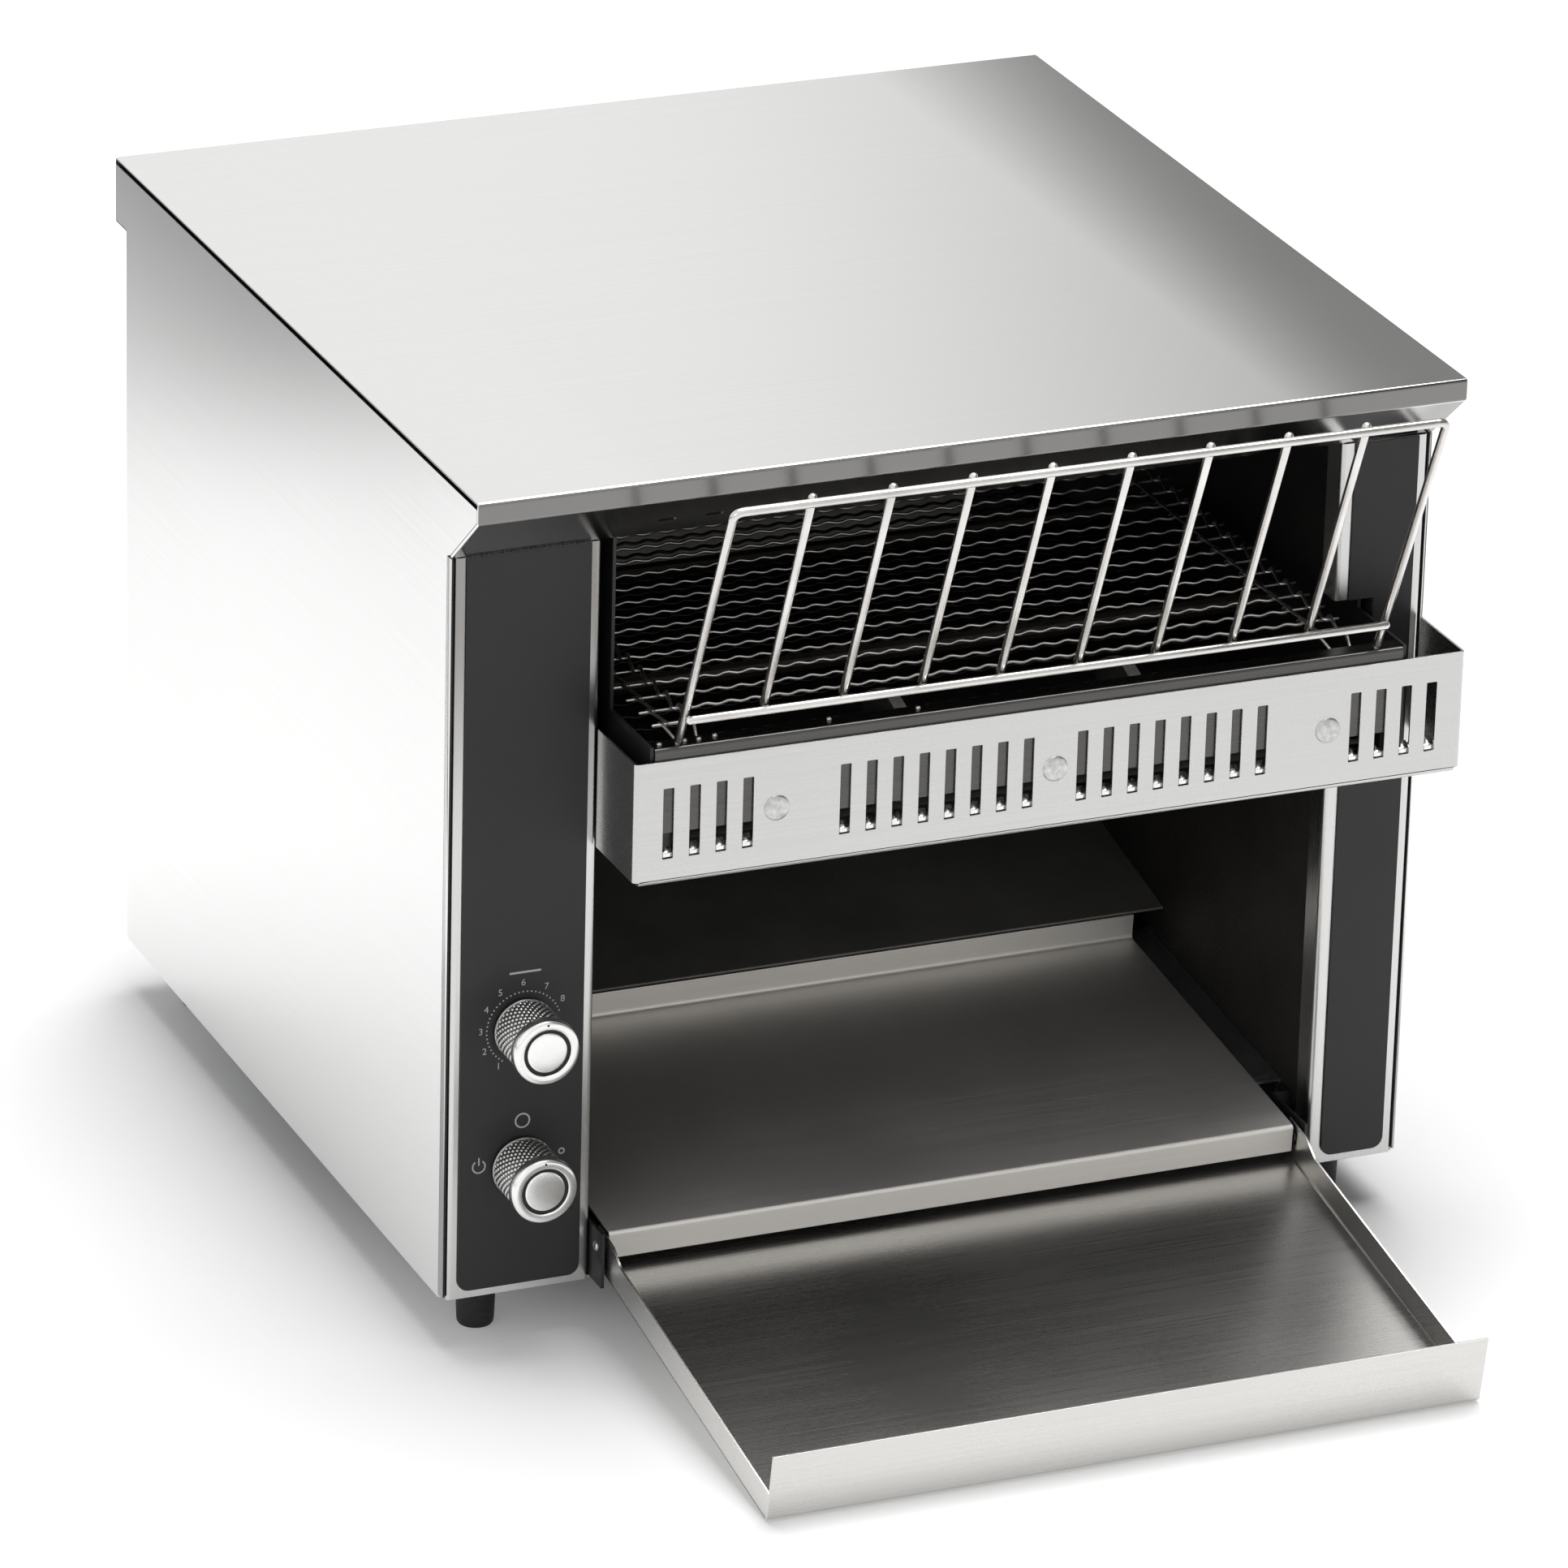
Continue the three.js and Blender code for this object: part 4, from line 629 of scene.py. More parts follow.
def left_top(tree):
    """One at the top of the left column, where the rim is painted darker as a painted shadow of
    the hood, fading out below the feed guard."""
    spot = axes(tree)
    high = smoothed(tree, spot["Z"], base_z + 0.21, base_z + 0.33)
    return combined(tree, "MULTIPLY", high, smoothed(tree, spot["X"], 0.0, -0.1))


# The left column's rim is painted darker at its top, a painted shadow of the hood.
fascia_steel = brushed_steel(
    "fascia_steel", downwards, (0.66, 0.66, 0.65), (0.57, 0.57, 0.56), rough=(0.2, 0.32),
    painted_shade=(left_top, (0.31, 0.30, 0.29)))


def column(name, left, right, stops, node, left_out=()):
    """A sheet folded back at both edges: the rounded line through its four corners in plan,
    repeated at each height of stops, from right to left."""
    back = fascia_y + column_return
    plan = rounded_line([(right, back), (right, fascia_y), (left, fascia_y), (left, back)], 2.2)
    plan = np.insert(plan, len(plan) // 2, [right_notch, fascia_y], 0) if left_out else plan
    piece = sheet_piece(name, [raised(plan, stops)], left_out=left_out)
    settle(piece, "housing", "stainless", fascia_steel, node)


column("left_column", -233.0, -165.0, (0.0, column_top), "left_fascia")
column(
    "right_column", 190.0, 233.0, (0.0, notch_bottom, notch_top, column_top), "right_fascia",
    [(row, 1) for row in range(10, 20)])

# Edge seals
# Beside each column a black rubber strip fills the gap, and a bent steel lip covers it and the
# panel's raw edge. On the left the rubber shows as a fine dark line, a dark strip that also
# stands in for the shade in the gap.
seal_low = 1.5


def block(name, grid, edge=0.2, segments=2):
    """The solid between the outlines in a grid's two columns, closed by flat faces, with
    rounded edges."""
    ends = [grid.swapaxes(0, 1)]
    piece = surface_piece(name, ends, around=True, capped=(0, -1), crease=50)
    soften_edges(piece, edge, segments, 50)
    return piece


for hand, side, tongue, lip_radius in (("left", -1, 234.5, 0.35), ("right", 1, 233.6, 0.8)):
    lip_line = [(tongue, 31.5), (half_width, 31.5), (half_width, 36.0)]
    lip_plan = rounded_line(np.multiply(lip_line, (side, 1)), lip_radius, 5)
    lip = surface_piece(f"edge_lip_{hand}", [raised(lip_plan, (seal_low, column_top)[::-side])])
    thicken(lip, 0.35)
    settle(lip, "housing", "stainless", panel_steel)
    # The black strip also stands in for the shade in the gap.
    strip_line = [(233.3, 31.9), (234.55, 31.9), (234.6, 35.9), (233.3, 35.9)]
    strip_grid = raised(np.multiply(strip_line, (side, 1)), (seal_low, column_top))
    strip = block(f"edge_seal_{hand}", strip_grid, 0.25, 3)
    settle(strip, "housing", "rubber", moulded_rubber, f"{hand}_edge_seal")

# Overlays
# Charcoal printed film on a stiff backing, laid on the columns inside a bright rim. Their lower
# corners are round and the right one is notched with its column.
film_back = 31.0
film_face = 30.2
film = mottled(
    "overlay_film", (0.036, 0.034, 0.036), (0.026, 0.025, 0.027), (0.42, 0.52), fine=1600.0,
    broad=9.0, bump=0.006, Specular_IOR_Level=0.35)
film_bottom = 3.8
film_inner = 196.5
left_line = rounded_line(
    [(-228.0, column_top), (-228.0, film_bottom), (-170.0, film_bottom), (-170.0, column_top)],
    5.5, 8)
right_line = rounded_line(
    [(228.0, column_top), (228.0, film_bottom), (film_inner, film_bottom),
     (film_inner, notch_bottom), (right_notch, notch_bottom), (right_notch, notch_top),
     (film_inner, notch_top), (film_inner, column_top)],
    [5.5, 5.5, 0.8, 0.8, 0.8, 0.8])
for name, line, node in (
        ("left_film", left_line, "control_overlay"), ("right_film", right_line, "right_overlay")):
    plate = block(name, swept(line, (film_back, film_face))[..., [1, 0, 2]])
    settle(plate, "housing", "overlay_film", film, node)
film_screw = lathed(
    "overlay_screw", [(1.9, 0), (1.9, 0.3), (1.5, 0.7), (0.6, 0.9)],
    [(216.5, film_face, 259.0)], (0, -1, 0), 20)
settle(film_screw, "housing", "black_plastic", moulded_rubber)

# Dial marks
# Pale ink printed on the control overlay: a scale of dots with plain numbers round the speed
# knob, and the usual signs for off and on beside the selector.
dial_x = -198.3
speed_z = 128.4
selector_z = 61.4
dot_ring = 17.6
ink_y = film_face - 0.03
ink = mottled(
    "dial_ink", (0.60, 0.60, 0.58), (0.50, 0.50, 0.48), (0.5, 0.6), fine=1500.0, bump=0.0)


def printed(points, faces):
    """Flat marks as a mesh's parts: points in x and z put on the overlay's face."""
    return np.insert(np.asarray(points, float), 1, ink_y, axis=1), faces


def ring_mark(centre, outer, inner, start=0.0, end=360.0, sides=28):
    """An arc of ink between two radii: centre + radius * (cos a, sin a) at both radii."""
    angle = np.radians(np.linspace(start, end, sides + 1))
    spokes = np.stack([np.cos(angle), np.sin(angle)], 1)
    rim = np.concatenate([centre + outer * spokes, centre + inner * spokes])
    step = np.arange(sides)
    quads = np.stack([step, step + 1, step + sides + 2, step + sides + 1], 1)
    return printed(rim, quads.tolist())


def bar_mark(x0, x1, z0, z1):
    """A short bar of ink."""
    return printed([(x0, z0), (x1, z0), (x1, z1), (x0, z1)], [[0, 1, 2, 3]])


def number_mark(text, centre, height):
    """A plain numeral: Blender's own letterforms made a mesh, then moved to their centre."""
    curve = bpy.data.curves.new(f"numeral_{text}", "FONT")
    curve.body = text
    curve.size = 1.0
    holder = placed(curve.name, curve)
    shape = bpy.data.meshes.new_from_object(holder)
    flat = np.empty(len(shape.vertices) * 3)
    shape.vertices.foreach_get("co", flat)
    flat = flat.reshape(-1, 3)[:, :2]
    size = np.ptp(flat, axis=0)[1]
    flat = (flat - (flat.min(0) + flat.max(0)) / 2) * height / size + np.asarray(centre)
    faces = [list(face.vertices) for face in shape.polygons]
    bpy.data.objects.remove(holder)
    bpy.data.meshes.remove(shape)
    bpy.data.curves.remove(curve)
    return printed(flat, faces)


number_places = [
    (-210.1, 111.7), (-216.8, 119.7), (-218.7, 129.5), (-216.2, 139.7),
    (-209.7, 147.0), (-198.8, 150.5), (-187.8, 147.1), (-180.2, 140.1),
]
dot_angles = np.radians(np.arange(235, 19, -6.5))
marks = [
    *(number_mark(str(number), place, 3.1) for number, place in enumerate(number_places, 1)),
    *(ring_mark((dial_x + dot_ring * math.cos(angle), speed_z + dot_ring * math.sin(angle)),
                0.42, 0.02, sides=8) for angle in dot_angles),
    bar_mark(-205.5, -190.6, 154.9, 155.9),
    ring_mark((dial_x, 83.5), 3.7, 2.9),
    ring_mark((-218.7, 64.0), 3.3, 2.6, start=125, end=415),
    bar_mark(-219.05, -218.35, 64.6, 68.4),
    ring_mark((-179.5, 65.8), 1.6, 0.9),
]
counts = np.cumsum([0] + [len(points) for points, _ in marks])
mark_points = np.concatenate([points for points, _ in marks])
mark_faces = [
    [corner + int(start) for corner in face]
    for start, (_, faces) in zip(counts, marks) for face in faces
]
mark_mesh = bpy.data.meshes.new("dial_marks")
mark_mesh.from_pydata(in_row(mark_points).tolist(), [], mark_faces)
settle(placed("dial_marks", mark_mesh), "housing", "overlay_film", ink)

# Knobs
# Each is a diamond-knurled barrel turned from metal and painted dark between its points, a
# painted shade in the knurl's valleys, with a bright cap pressed on: a wide ring, a raised disc
# and a black washer in the groove between them. A nick in the ring shows where it points.
knob_back = 29.3
barrel_front = 7.2
barrel_length = 22.1
barrel_radius = 13.65
barrel_rim = 13.8
barrel_end = 13.6
cap_rise = 6.0
nick_radius = 13.3
knurl_starts = 28
knurl_rows = 13
knurl_round = 288
knurl_steps = 64
knurl_depth = 0.85
smooth_tone = 0.4


def valleys(tree):
    """One between the knurl's points, where the barrel is painted darker as a painted shade, and
    zero on them, from the barrel's own attribute.
    """
    height = tree.nodes.new("ShaderNodeAttribute")
    height.attribute_name = "knurl"
    return smoothed(tree, height.outputs["Fac"], 0.75, 0.25)


# The knurl's valleys, and mostly the smooth bands at both ends, are painted darker, a painted
# shade.
barrel_metal = mottled(
    "knob_barrel", (0.86, 0.86, 0.84), (0.74, 0.74, 0.73), (0.24, 0.36), fine=1200.0, broad=40.0,
    bump=0.01, painted_shade=(valleys, (0.30, 0.30, 0.295)), Metallic=1.0)


def turned_metal(name, centre):
    """Metal turned on a lathe: rings about an axis that the Mapping node puts at the centre,
    one for each 0.25 mm, which move colour, roughness and height a little."""
    material = bpy.data.materials.new(name)
    tree = empty_tree(material)
    place = tree.nodes.new("ShaderNodeTexCoord")
    grip = new_node(
        tree, "ShaderNodeMapping", Vector=place.outputs["Object"],
        Location=[-value for value in in_row(centre)])
    rings = new_node(
        tree, "ShaderNodeTexWave", Vector=grip.outputs[0], Scale=640.0, Distortion=1.2, Detail=2.0)
    rings.wave_type = "RINGS"
    rings.rings_direction = "Y"
    mask = rings.outputs["Fac"]
    finished(
        tree, mask, mask, mask, (0.93, 0.93, 0.92), (0.80, 0.80, 0.79), (0.2, 0.3), Metallic=1.0)
    return material


skirt = [(14.0, 0.0), (14.5, 0.25), (14.5, 1.0), (14.1, 1.3)]
cap_profile = [
    (13.4, 0.1), (14.8, 0.1), (15.2, 0.4), (15.3, 1.0), (15.3, 4.2), (15.15, 5.0), (14.75, 5.65),
    (14.1, 6.0), (13.4, 6.1), (11.7, 6.1), (11.2, 6.0), (10.95, 5.7), (10.9, 5.3), (10.9, 2.4),
    (9.4, 2.4), (9.4, 5.2), (9.3, 5.5), (9.0, 5.75), (8.6, 5.8), (4.0, 5.9), (0.8, 5.92),
]
washer_profile = [
    (9.45, 3.4), (9.45, 4.9), (9.6, 5.05), (10.7, 5.05), (10.85, 4.9), (10.85, 3.4)]


def knob(name, height, body, *nodes):
    """A knurled barrel and its cap, about an axis that faces the front. The barrel's radius is
    its least one + the knurl's depth * |sin((28 a + c) / 2)| * |sin((28 a - c) / 2)|, where a is
    the angle round it and c climbs by 13 half turns from the skirt to the cap."""
    turns = 2 * math.pi * np.arange(knurl_round) / knurl_round
    steps = np.linspace(0.06, 0.97, knurl_steps)
    spiral = knurl_starts * turns[None, :]
    climb = (steps * knurl_rows * math.pi)[:, None]
    ridge = np.abs(np.sin((spiral + climb) / 2)) * np.abs(np.sin((spiral - climb) / 2))
    radius = barrel_radius + knurl_depth * ridge
    radius[0] = radius[-1] = barrel_rim
    wide, low = np.array(skirt).T
    flat = np.ones((1, knurl_round))
    rows = np.concatenate([wide[:, None] * flat, radius, barrel_end * flat])
    reach = np.concatenate([low, steps * barrel_length, [barrel_length]])
    grid = np.empty((len(rows), knurl_round, 3))
    grid[..., 0] = dial_x + rows * np.cos(turns)
    grid[..., 1] = knob_back - reach[:, None]
    grid[..., 2] = height + rows * np.sin(turns)
    barrel = surface_piece(f"{name}_barrel", [grid], around=True, capped=(0, -1), crease=60)
    knurl = barrel.data.attributes.new("knurl", "FLOAT", "POINT")
    smooth = np.full((len(skirt), knurl_round), smooth_tone)
    knurl.data.foreach_set(
        "value", np.concatenate([smooth, ridge, smooth[:1]]).astype(np.float32).ravel())
    settle(barrel, body, "satin_silver", barrel_metal, nodes[0])
    axle = (dial_x, barrel_front, height)
    cap = lathed(f"{name}_cap", cap_profile, [axle], (0, -1, 0), 96)
    settle(cap, body, "chrome", turned_metal(f"{name}_cap_metal", axle), nodes[1])
    nick_place = (dial_x, barrel_front - cap_rise, height + nick_radius)
    nick_profile = [(0.55, 0.0), (0.55, 0.16), (0.35, 0.22)]
    nick = lathed(f"{name}_pointer", nick_profile, [nick_place], (0, -1, 0), 12)
    settle(nick, body, "black_plastic", moulded_rubber)
    washer_grid = turned(washer_profile, axle, (0, -1, 0), 96)
    washer = surface_piece(f"{name}_washer", [washer_grid], around=True)
    settle(washer, body, "black_plastic", moulded_rubber)


knob("speed_knob", speed_z, "speed_dial", "speed_knob", "speed_knob_cap")
knob("selector_knob", selector_z, "selector_dial", "selector_knob", "selector_knob_cap")

# Controls behind the column
# The speed potentiometer in a die-cast case and the rotary switch in a black moulded one, each
# on a threaded bush.
die_cast = mottled(
    "die_cast", (0.46, 0.47, 0.48), (0.36, 0.37, 0.38), (0.45, 0.62), fine=1100.0, broad=45.0,
    bump=0.05, Metallic=0.9)
moulded_plastic = mottled(
    "moulded_plastic", (0.030, 0.030, 0.032), (0.020, 0.020, 0.021), (0.42, 0.58), fine=1300.0,
    broad=50.0)
dress(die_cast, "speed_potentiometer")
dress(moulded_plastic, "selector_switch")

# Hot space
# Inner walls, chute and the sheets under and over the belt, all steel that the heat has turned
# brown-black, and the black-painted side plates of the conveyor.
heat_dark = mottled(
    "heat_darkened", (0.034, 0.032, 0.030), (0.020, 0.018, 0.017), (0.50, 0.70), fine=700.0,
    broad=22.0, bump=0.03, Metallic=0.15, Specular_IOR_Level=0.25)
chute_dark = mottled(
    "chute_darkened", (0.26, 0.255, 0.24), (0.18, 0.175, 0.165), (0.45, 0.65), fine=700.0,
    broad=18.0, bump=0.03, Metallic=0.2)
stove_paint = mottled(
    "stove_paint", (0.020, 0.020, 0.020), (0.012, 0.012, 0.012), (0.38, 0.55), fine=1500.0,
    broad=30.0)
dress(heat_dark, "left_inner_wall", "right_inner_wall", "conveyor_underpan", "upper_reflector")
dress(chute_dark, "rear_chute")
dress(stove_paint, "conveyor_left_plate", "conveyor_right_plate")

# Heaters
# Sheathed rods through both plates, oxidised to a dull brown, with steel terminal pins.
heater_skin = mottled(
    "heater_sheath", (0.070, 0.062, 0.055), (0.040, 0.036, 0.032), (0.5, 0.7), fine=1000.0,
    broad=40.0, bump=0.03, Metallic=0.5)
dress(
    heater_skin, "upper_heater_1", "upper_heater_2", "upper_heater_3", "lower_heater_1",
    "lower_heater_2")

# Shafts
# Two ground hexagon shafts in flanged bronze bushes, and four sprockets sawn from steel plate.
ground_steel = mottled(
    "ground_steel", (0.62, 0.62, 0.61), (0.48, 0.48, 0.47), (0.2, 0.34), fine=1000.0, broad=25.0,
    bump=0.01, Metallic=1.0)
sprocket_steel = mottled(
    "sprocket_steel", (0.20, 0.19, 0.18), (0.12, 0.115, 0.11), (0.34, 0.5), fine=800.0,
    broad=35.0, Metallic=0.9)
bronze = mottled(
    "sintered_bronze", (0.42, 0.29, 0.13), (0.27, 0.19, 0.09), (0.36, 0.52), fine=1600.0,
    broad=60.0, bump=0.03, Metallic=1.0)
for run in ("idler", "drive"):
    dress(ground_steel, f"{run}_shaft")
    dress(bronze, f"{run}_bush_left", f"{run}_bush_right")
    dress(sprocket_steel, f"{run}_sprocket_left", f"{run}_sprocket_right")

# Belt
# Fifty-four bent wires. Each runs across in shallow waves, and near both edges its hooks reach
# over the next wire and under that wire's own hooks. The heat has dulled the drawn wire to
# grey-brown, and the lower run is painted almost black, a painted shade under the upper run.
pitch = 15.24
spans = 22
teeth = 10
idler_y = 17.5
shaft_z = 245.4
row_radius = pitch / (2 * math.sin(math.pi / teeth))
drive_y = idler_y + spans * pitch
wire = 0.8
waves = 27
wave_samples = 6
wave_height = 0.4
belt_edges = (-146.0, 193.5)
hook_inset = 12.0
hook_base = 4.0
hook_tip = 7.5
hook_rises = (0.8, 2.0)
hook_lead = 0.8
hook_reach = 4.0
hook_dip = 1.65


def eased_paths(paths, reach, steps):
    """Many paths at once, with every corner eased: (1 - t)^2 a + 2 t (1 - t) corner + t^2 b,
    where a and b lie reach before and after the corner, or 0.45 of the way to its neighbour."""
    legs = np.diff(paths, axis=-2)
    lengths = np.linalg.norm(legs, axis=-1, keepdims=True)
    units = legs / lengths
    corner = paths[..., 1:-1, :]
    a = corner - units[..., :-1, :] * np.minimum(reach, 0.45 * lengths[..., :-1, :])
    b = corner + units[..., 1:, :] * np.minimum(reach, 0.45 * lengths[..., 1:, :])
    t = np.linspace(0, 1, steps + 1)[:, None]
    curve = ((1 - t) ** 2 * a[..., None, :] + 2 * t * (1 - t) * corner[..., None, :]
             + t ** 2 * b[..., None, :])
    inner = curve.reshape(*paths.shape[:-2], -1, 3)
    return np.concatenate([paths[..., :1, :], inner, paths[..., -1:, :]], -2)


def tubes(paths, radius, outward, sides):
    """A round tube along each path: point + radius * (n cos a + b sin a), where b is square to
    the path and to the given outward direction, and n to both. The ends are rounded off."""
    along = unit(np.gradient(paths, axis=-2))
    b = unit(np.cross(along, outward))
    n = np.cross(b, along)
    angle = np.linspace(0, 2 * math.pi, sides, endpoint=False)[:, None]
    spokes = n[..., None, :] * np.cos(angle) + b[..., None, :] * np.sin(angle)
    ends = radius * np.array([0.25, 0.7, 1.0])
    shift = radius * np.array([0.0, 0.2, 0.75])
    start = paths[..., :1, :] + along[..., :1, :] * shift[:, None]
    finish = paths[..., -1:, :] - along[..., -1:, :] * shift[::-1, None]
    spine = np.concatenate([start, paths[..., 1:-1, :], finish], -2)
    count = paths.shape[-2]
    spokes = spokes[..., np.clip(np.arange(-2, count + 2), 0, count - 1), :, :]
    width = np.concatenate([ends, np.full(count - 2, radius), ends[::-1]])
    return spine[..., None, :] + width[:, None, None] * spokes


step = np.arange(spans)
lap = 2 * math.pi * np.arange(teeth // 2) / teeth
rear_turn = math.pi / 2 - lap
front_turn = -math.pi / 2 - lap
row_y = np.concatenate([
    idler_y + step * pitch, drive_y + row_radius * np.cos(rear_turn),
    drive_y - step * pitch, idler_y + row_radius * np.cos(front_turn)])
row_rise = np.concatenate([
    np.ones(spans), np.sin(rear_turn), -np.ones(spans), np.sin(front_turn)])
belt_rows = np.stack([row_y, shaft_z + row_radius * row_rise], 1)
row_end = np.roll(belt_rows, -1, 0)
to_next = unit(row_end - belt_rows)
next_along = np.roll(to_next, -1, 0)
outward = np.stack([-to_next[:, 1], to_next[:, 0]], 1)
next_outward = np.roll(outward, -1, 0)
lifted = unit(outward + next_outward)
over_first, over_other = [
    row_end + rise * lifted + hook_lead * next_along for rise in hook_rises]
under = row_end + hook_reach * next_along - hook_dip * next_outward
stations = [(belt_edges[0], belt_rows)]
hooks = ((belt_edges[0] + hook_inset, over_first), (belt_edges[1] - hook_inset, over_other))
for x, over in hooks:
    stations += [
        (x - hook_base, belt_rows), (x - hook_tip, over), (x - hook_tip, under),
        (x + hook_tip, under), (x + hook_tip, over_other), (x + hook_base, belt_rows),
    ]
stations.append((belt_edges[1], belt_rows))
strands = np.stack(
    [np.concatenate([np.full((len(place), 1), x), place], 1) for x, place in stations], 1)
strands = eased_paths(strands, 2.0, 3)
open_span = int(np.argmax(np.diff(strands[0, :, 0])))
share = np.arange(1, waves * wave_samples) / (waves * wave_samples)
swing = np.sin(2 * math.pi * waves * share)[None, :, None]
span_start, span_end = strands[:, open_span, None, :], strands[:, open_span + 1, None, :]
sway = np.concatenate(
    [np.zeros((len(to_next), 1)), wave_height * to_next + wave_height * outward], 1)
waved = span_start + share[None, :, None] * (span_end - span_start) + swing * sway[:, None, :]
strands = np.concatenate([strands[:, :open_span + 1], waved, strands[:, open_span + 1:]], 1)
lift = np.concatenate([np.zeros((len(outward), 1)), outward], 1)[:, None, :]
belt = surface_piece(
    "wire_belt", list(tubes(strands, wire, lift, 7)), around=True, capped=(0, -1), crease=70)


def lower_run(tree):
    """One on the belt's lower run, which is painted dark as a painted shade, and zero above the
    shafts' axes.
    """
    return smoothed(tree, axes(tree)["Z"], base_z + 0.250, base_z + 0.236)


# The belt's lower run is painted almost black, a painted shade under the upper run.
belt_wire = mottled(
    "belt_wire", (0.80, 0.78, 0.75), (0.58, 0.56, 0.53), (0.30, 0.46), broad=35.0, bump=0.01,
    painted_shade=(lower_run, (0.05, 0.048, 0.045)), Metallic=1.0)
settle(belt, "housing", "belt_wire", belt_wire, "conveyor_belt")

# Apron
# A strip of dark steel folded back over the front of the belt, behind the guard. Small bright
# studs stand on its ledge, and the rack's feet drop through it; the two holes they pass through
# are not cut.
apron_top = 272.0
apron_ends = (-156.2, 203.7)
apron_line = rounded_line([(-12.5, 232.0), (-12.5, apron_top), (-3.0, apron_top)], 1.6)
apron = sheet_piece("apron", [swept(apron_line, apron_ends)], thickness=1.0)
apron_steel = brushed_steel(
    "apron_steel", across, (0.12, 0.117, 0.113), (0.08, 0.078, 0.075), cloud=9.0)
settle(apron, "housing", "dark_steel", apron_steel, "front_apron")
stud = [(1.25, 0.0), (1.3, 0.5), (1.05, 1.0), (0.5, 1.25), (0.1, 1.3)]
stud_places = [(x, y, apron_top) for x, y in (
    (-152.5, -7.6), (-140.5, -7.0), (-133.9, -7.3), (-125.9, -6.1), (-71.7, -5.4), (-29.9, -6.6))]
studs = lathed("apron_studs", stud, stud_places, (0, 0, 1), 20)
settle(studs, "housing", "chrome", screw_steel)

# Feed guard
# One stainless sheet punched with four groups of slots and folded back at both ends and along
# the bottom. A small bright tab fills the foot of each slot and leans back into it. Three low
# screws hold the sheet.
guard_left = -166.0
guard_right = 234.0
guard_middle = (guard_left + guard_right) / 2
guard_face = -14.0
guard_back = 29.9
guard_low = 208.5
guard_high = 266.5
bend = 2.2
slot_pitch = 12.5
slot_low = 220.5
slot_high = 253.7
tab_half = 2.35
offsets = np.concatenate([13 + slot_pitch * np.arange(8), 146.5 + slot_pitch * np.arange(4)])
slot_xs = guard_middle + np.concatenate([-offsets, offsets])
stops = np.unique(np.round(np.concatenate(
    [slot_xs - slot_pitch / 2, slot_xs + slot_pitch / 2]), 6))[::-1]
corner_line = rounded_line(
    [(guard_right, guard_back), (guard_right, guard_face), (guard_left, guard_face),
     (guard_left, guard_back)], bend)
half = len(corner_line) // 2
plan = np.concatenate(
    [corner_line[:half], np.stack([stops, np.full(len(stops), guard_face)], 1),
     corner_line[half:]])
levels = (guard_low + bend, slot_low - 4, slot_high + 4, guard_high)
fold = rounded_line([(22.0, guard_low), (guard_face, guard_low), (guard_face, 215.0)], bend)[:-1]
front = plan[half - 1:half + len(stops) + 1]
shelf_under = swept(fold, front[:, 0]).swapaxes(0, 1)
behind = 1e3 * (plan[:, 1] > guard_face + 0.01)
slots = [
    ((int(np.argmin(abs(plan[:, 0] - (x + slot_pitch / 2)) + behind)), 1),
     opening((x, guard_face, (slot_low + slot_high) / 2), (0, 0, 1), (-1, 0, 0),
             (slot_high - slot_low) / 2, 2.5, 0.5))
    for x in slot_xs
]
guard = sheet_piece("guard", [raised(plan, levels), shelf_under], 0.18, holes=slots)
guard_steel = brushed_steel(
    "guard_steel", across, (0.60, 0.60, 0.59), (0.54, 0.54, 0.53), rough=(0.22, 0.34), cloud=6.0)
settle(guard, "housing", "stainless", guard_steel, "feed_guard")
tab_line = rounded_line(
    [(-12.6, 219.0), (-12.6, 220.5), (-13.7, 221.3), (-13.7, 223.1), (-10.4, 225.9)],
    [0.3, 0.3, 0.6], 4)
slot_tabs = surface_piece(
    "slot_tabs", [swept(tab_line, (x - tab_half, x + tab_half)) for x in slot_xs])
thicken(slot_tabs, 0.5)
tab_steel = mottled(
    "tab_steel", (0.86, 0.86, 0.85), (0.78, 0.78, 0.77), (0.18, 0.3), broad=60.0, bump=0.004,
    Metallic=1.0)
settle(slot_tabs, "housing", "stainless", tab_steel)
worn_screw = mottled(
    "guard_screw_steel", (0.66, 0.66, 0.65), (0.44, 0.44, 0.43), (0.26, 0.42), fine=520.0,
    broad=420.0, bump=0.05, Metallic=1.0)
guard_screw_z = 237.5
low_dome = [(5.9, 0.0), (6.0, 0.12), (5.85, 0.4), (5.2, 0.62), (3.6, 0.8), (1.8, 0.9), (0.4, 0.93)]
for number, x in enumerate((guard_middle - 133, guard_middle, guard_middle + 133), 1):
    screw = lathed(
        f"guard_screw_head_{number}", low_dome, [(x, guard_face, guard_screw_z)], (0, -1, 0),
        crease=50)
    settle(screw, "housing", "chrome", worn_screw, f"guard_screw_{number}")

# Loading rack
# A chromed wire frame that leans forward over the apron, eight bars welded behind it, and a
# cross bar low down. Its thinner feet drop through the apron.
rack_middle = 23.75
rack_half = 168.0
rack_height = 139.0
rack_low = -0.4
rack_foot = (-9.0, 273.1)
rack_lean = math.radians(24)
rod = 2.0
spigot = 1.4
chromed = mottled(
    "rack_chrome", (0.80, 0.79, 0.77), (0.62, 0.60, 0.58), (0.14, 0.26), broad=26.0, bump=0.006,
    Metallic=1.0)


def leaned(points):
    """Points of the upright rack turned about its feet: y cos - z sin, y sin + z cos."""
    x, y, z = np.moveaxis(np.asarray(points, float), -1, 0)
    cosine, sine = math.cos(rack_lean), math.sin(rack_lean)
    return np.stack(
        [x + rack_middle, rack_foot[0] + y * cosine - z * sine,
         rack_foot[1] + y * sine + z * cosine], -1)


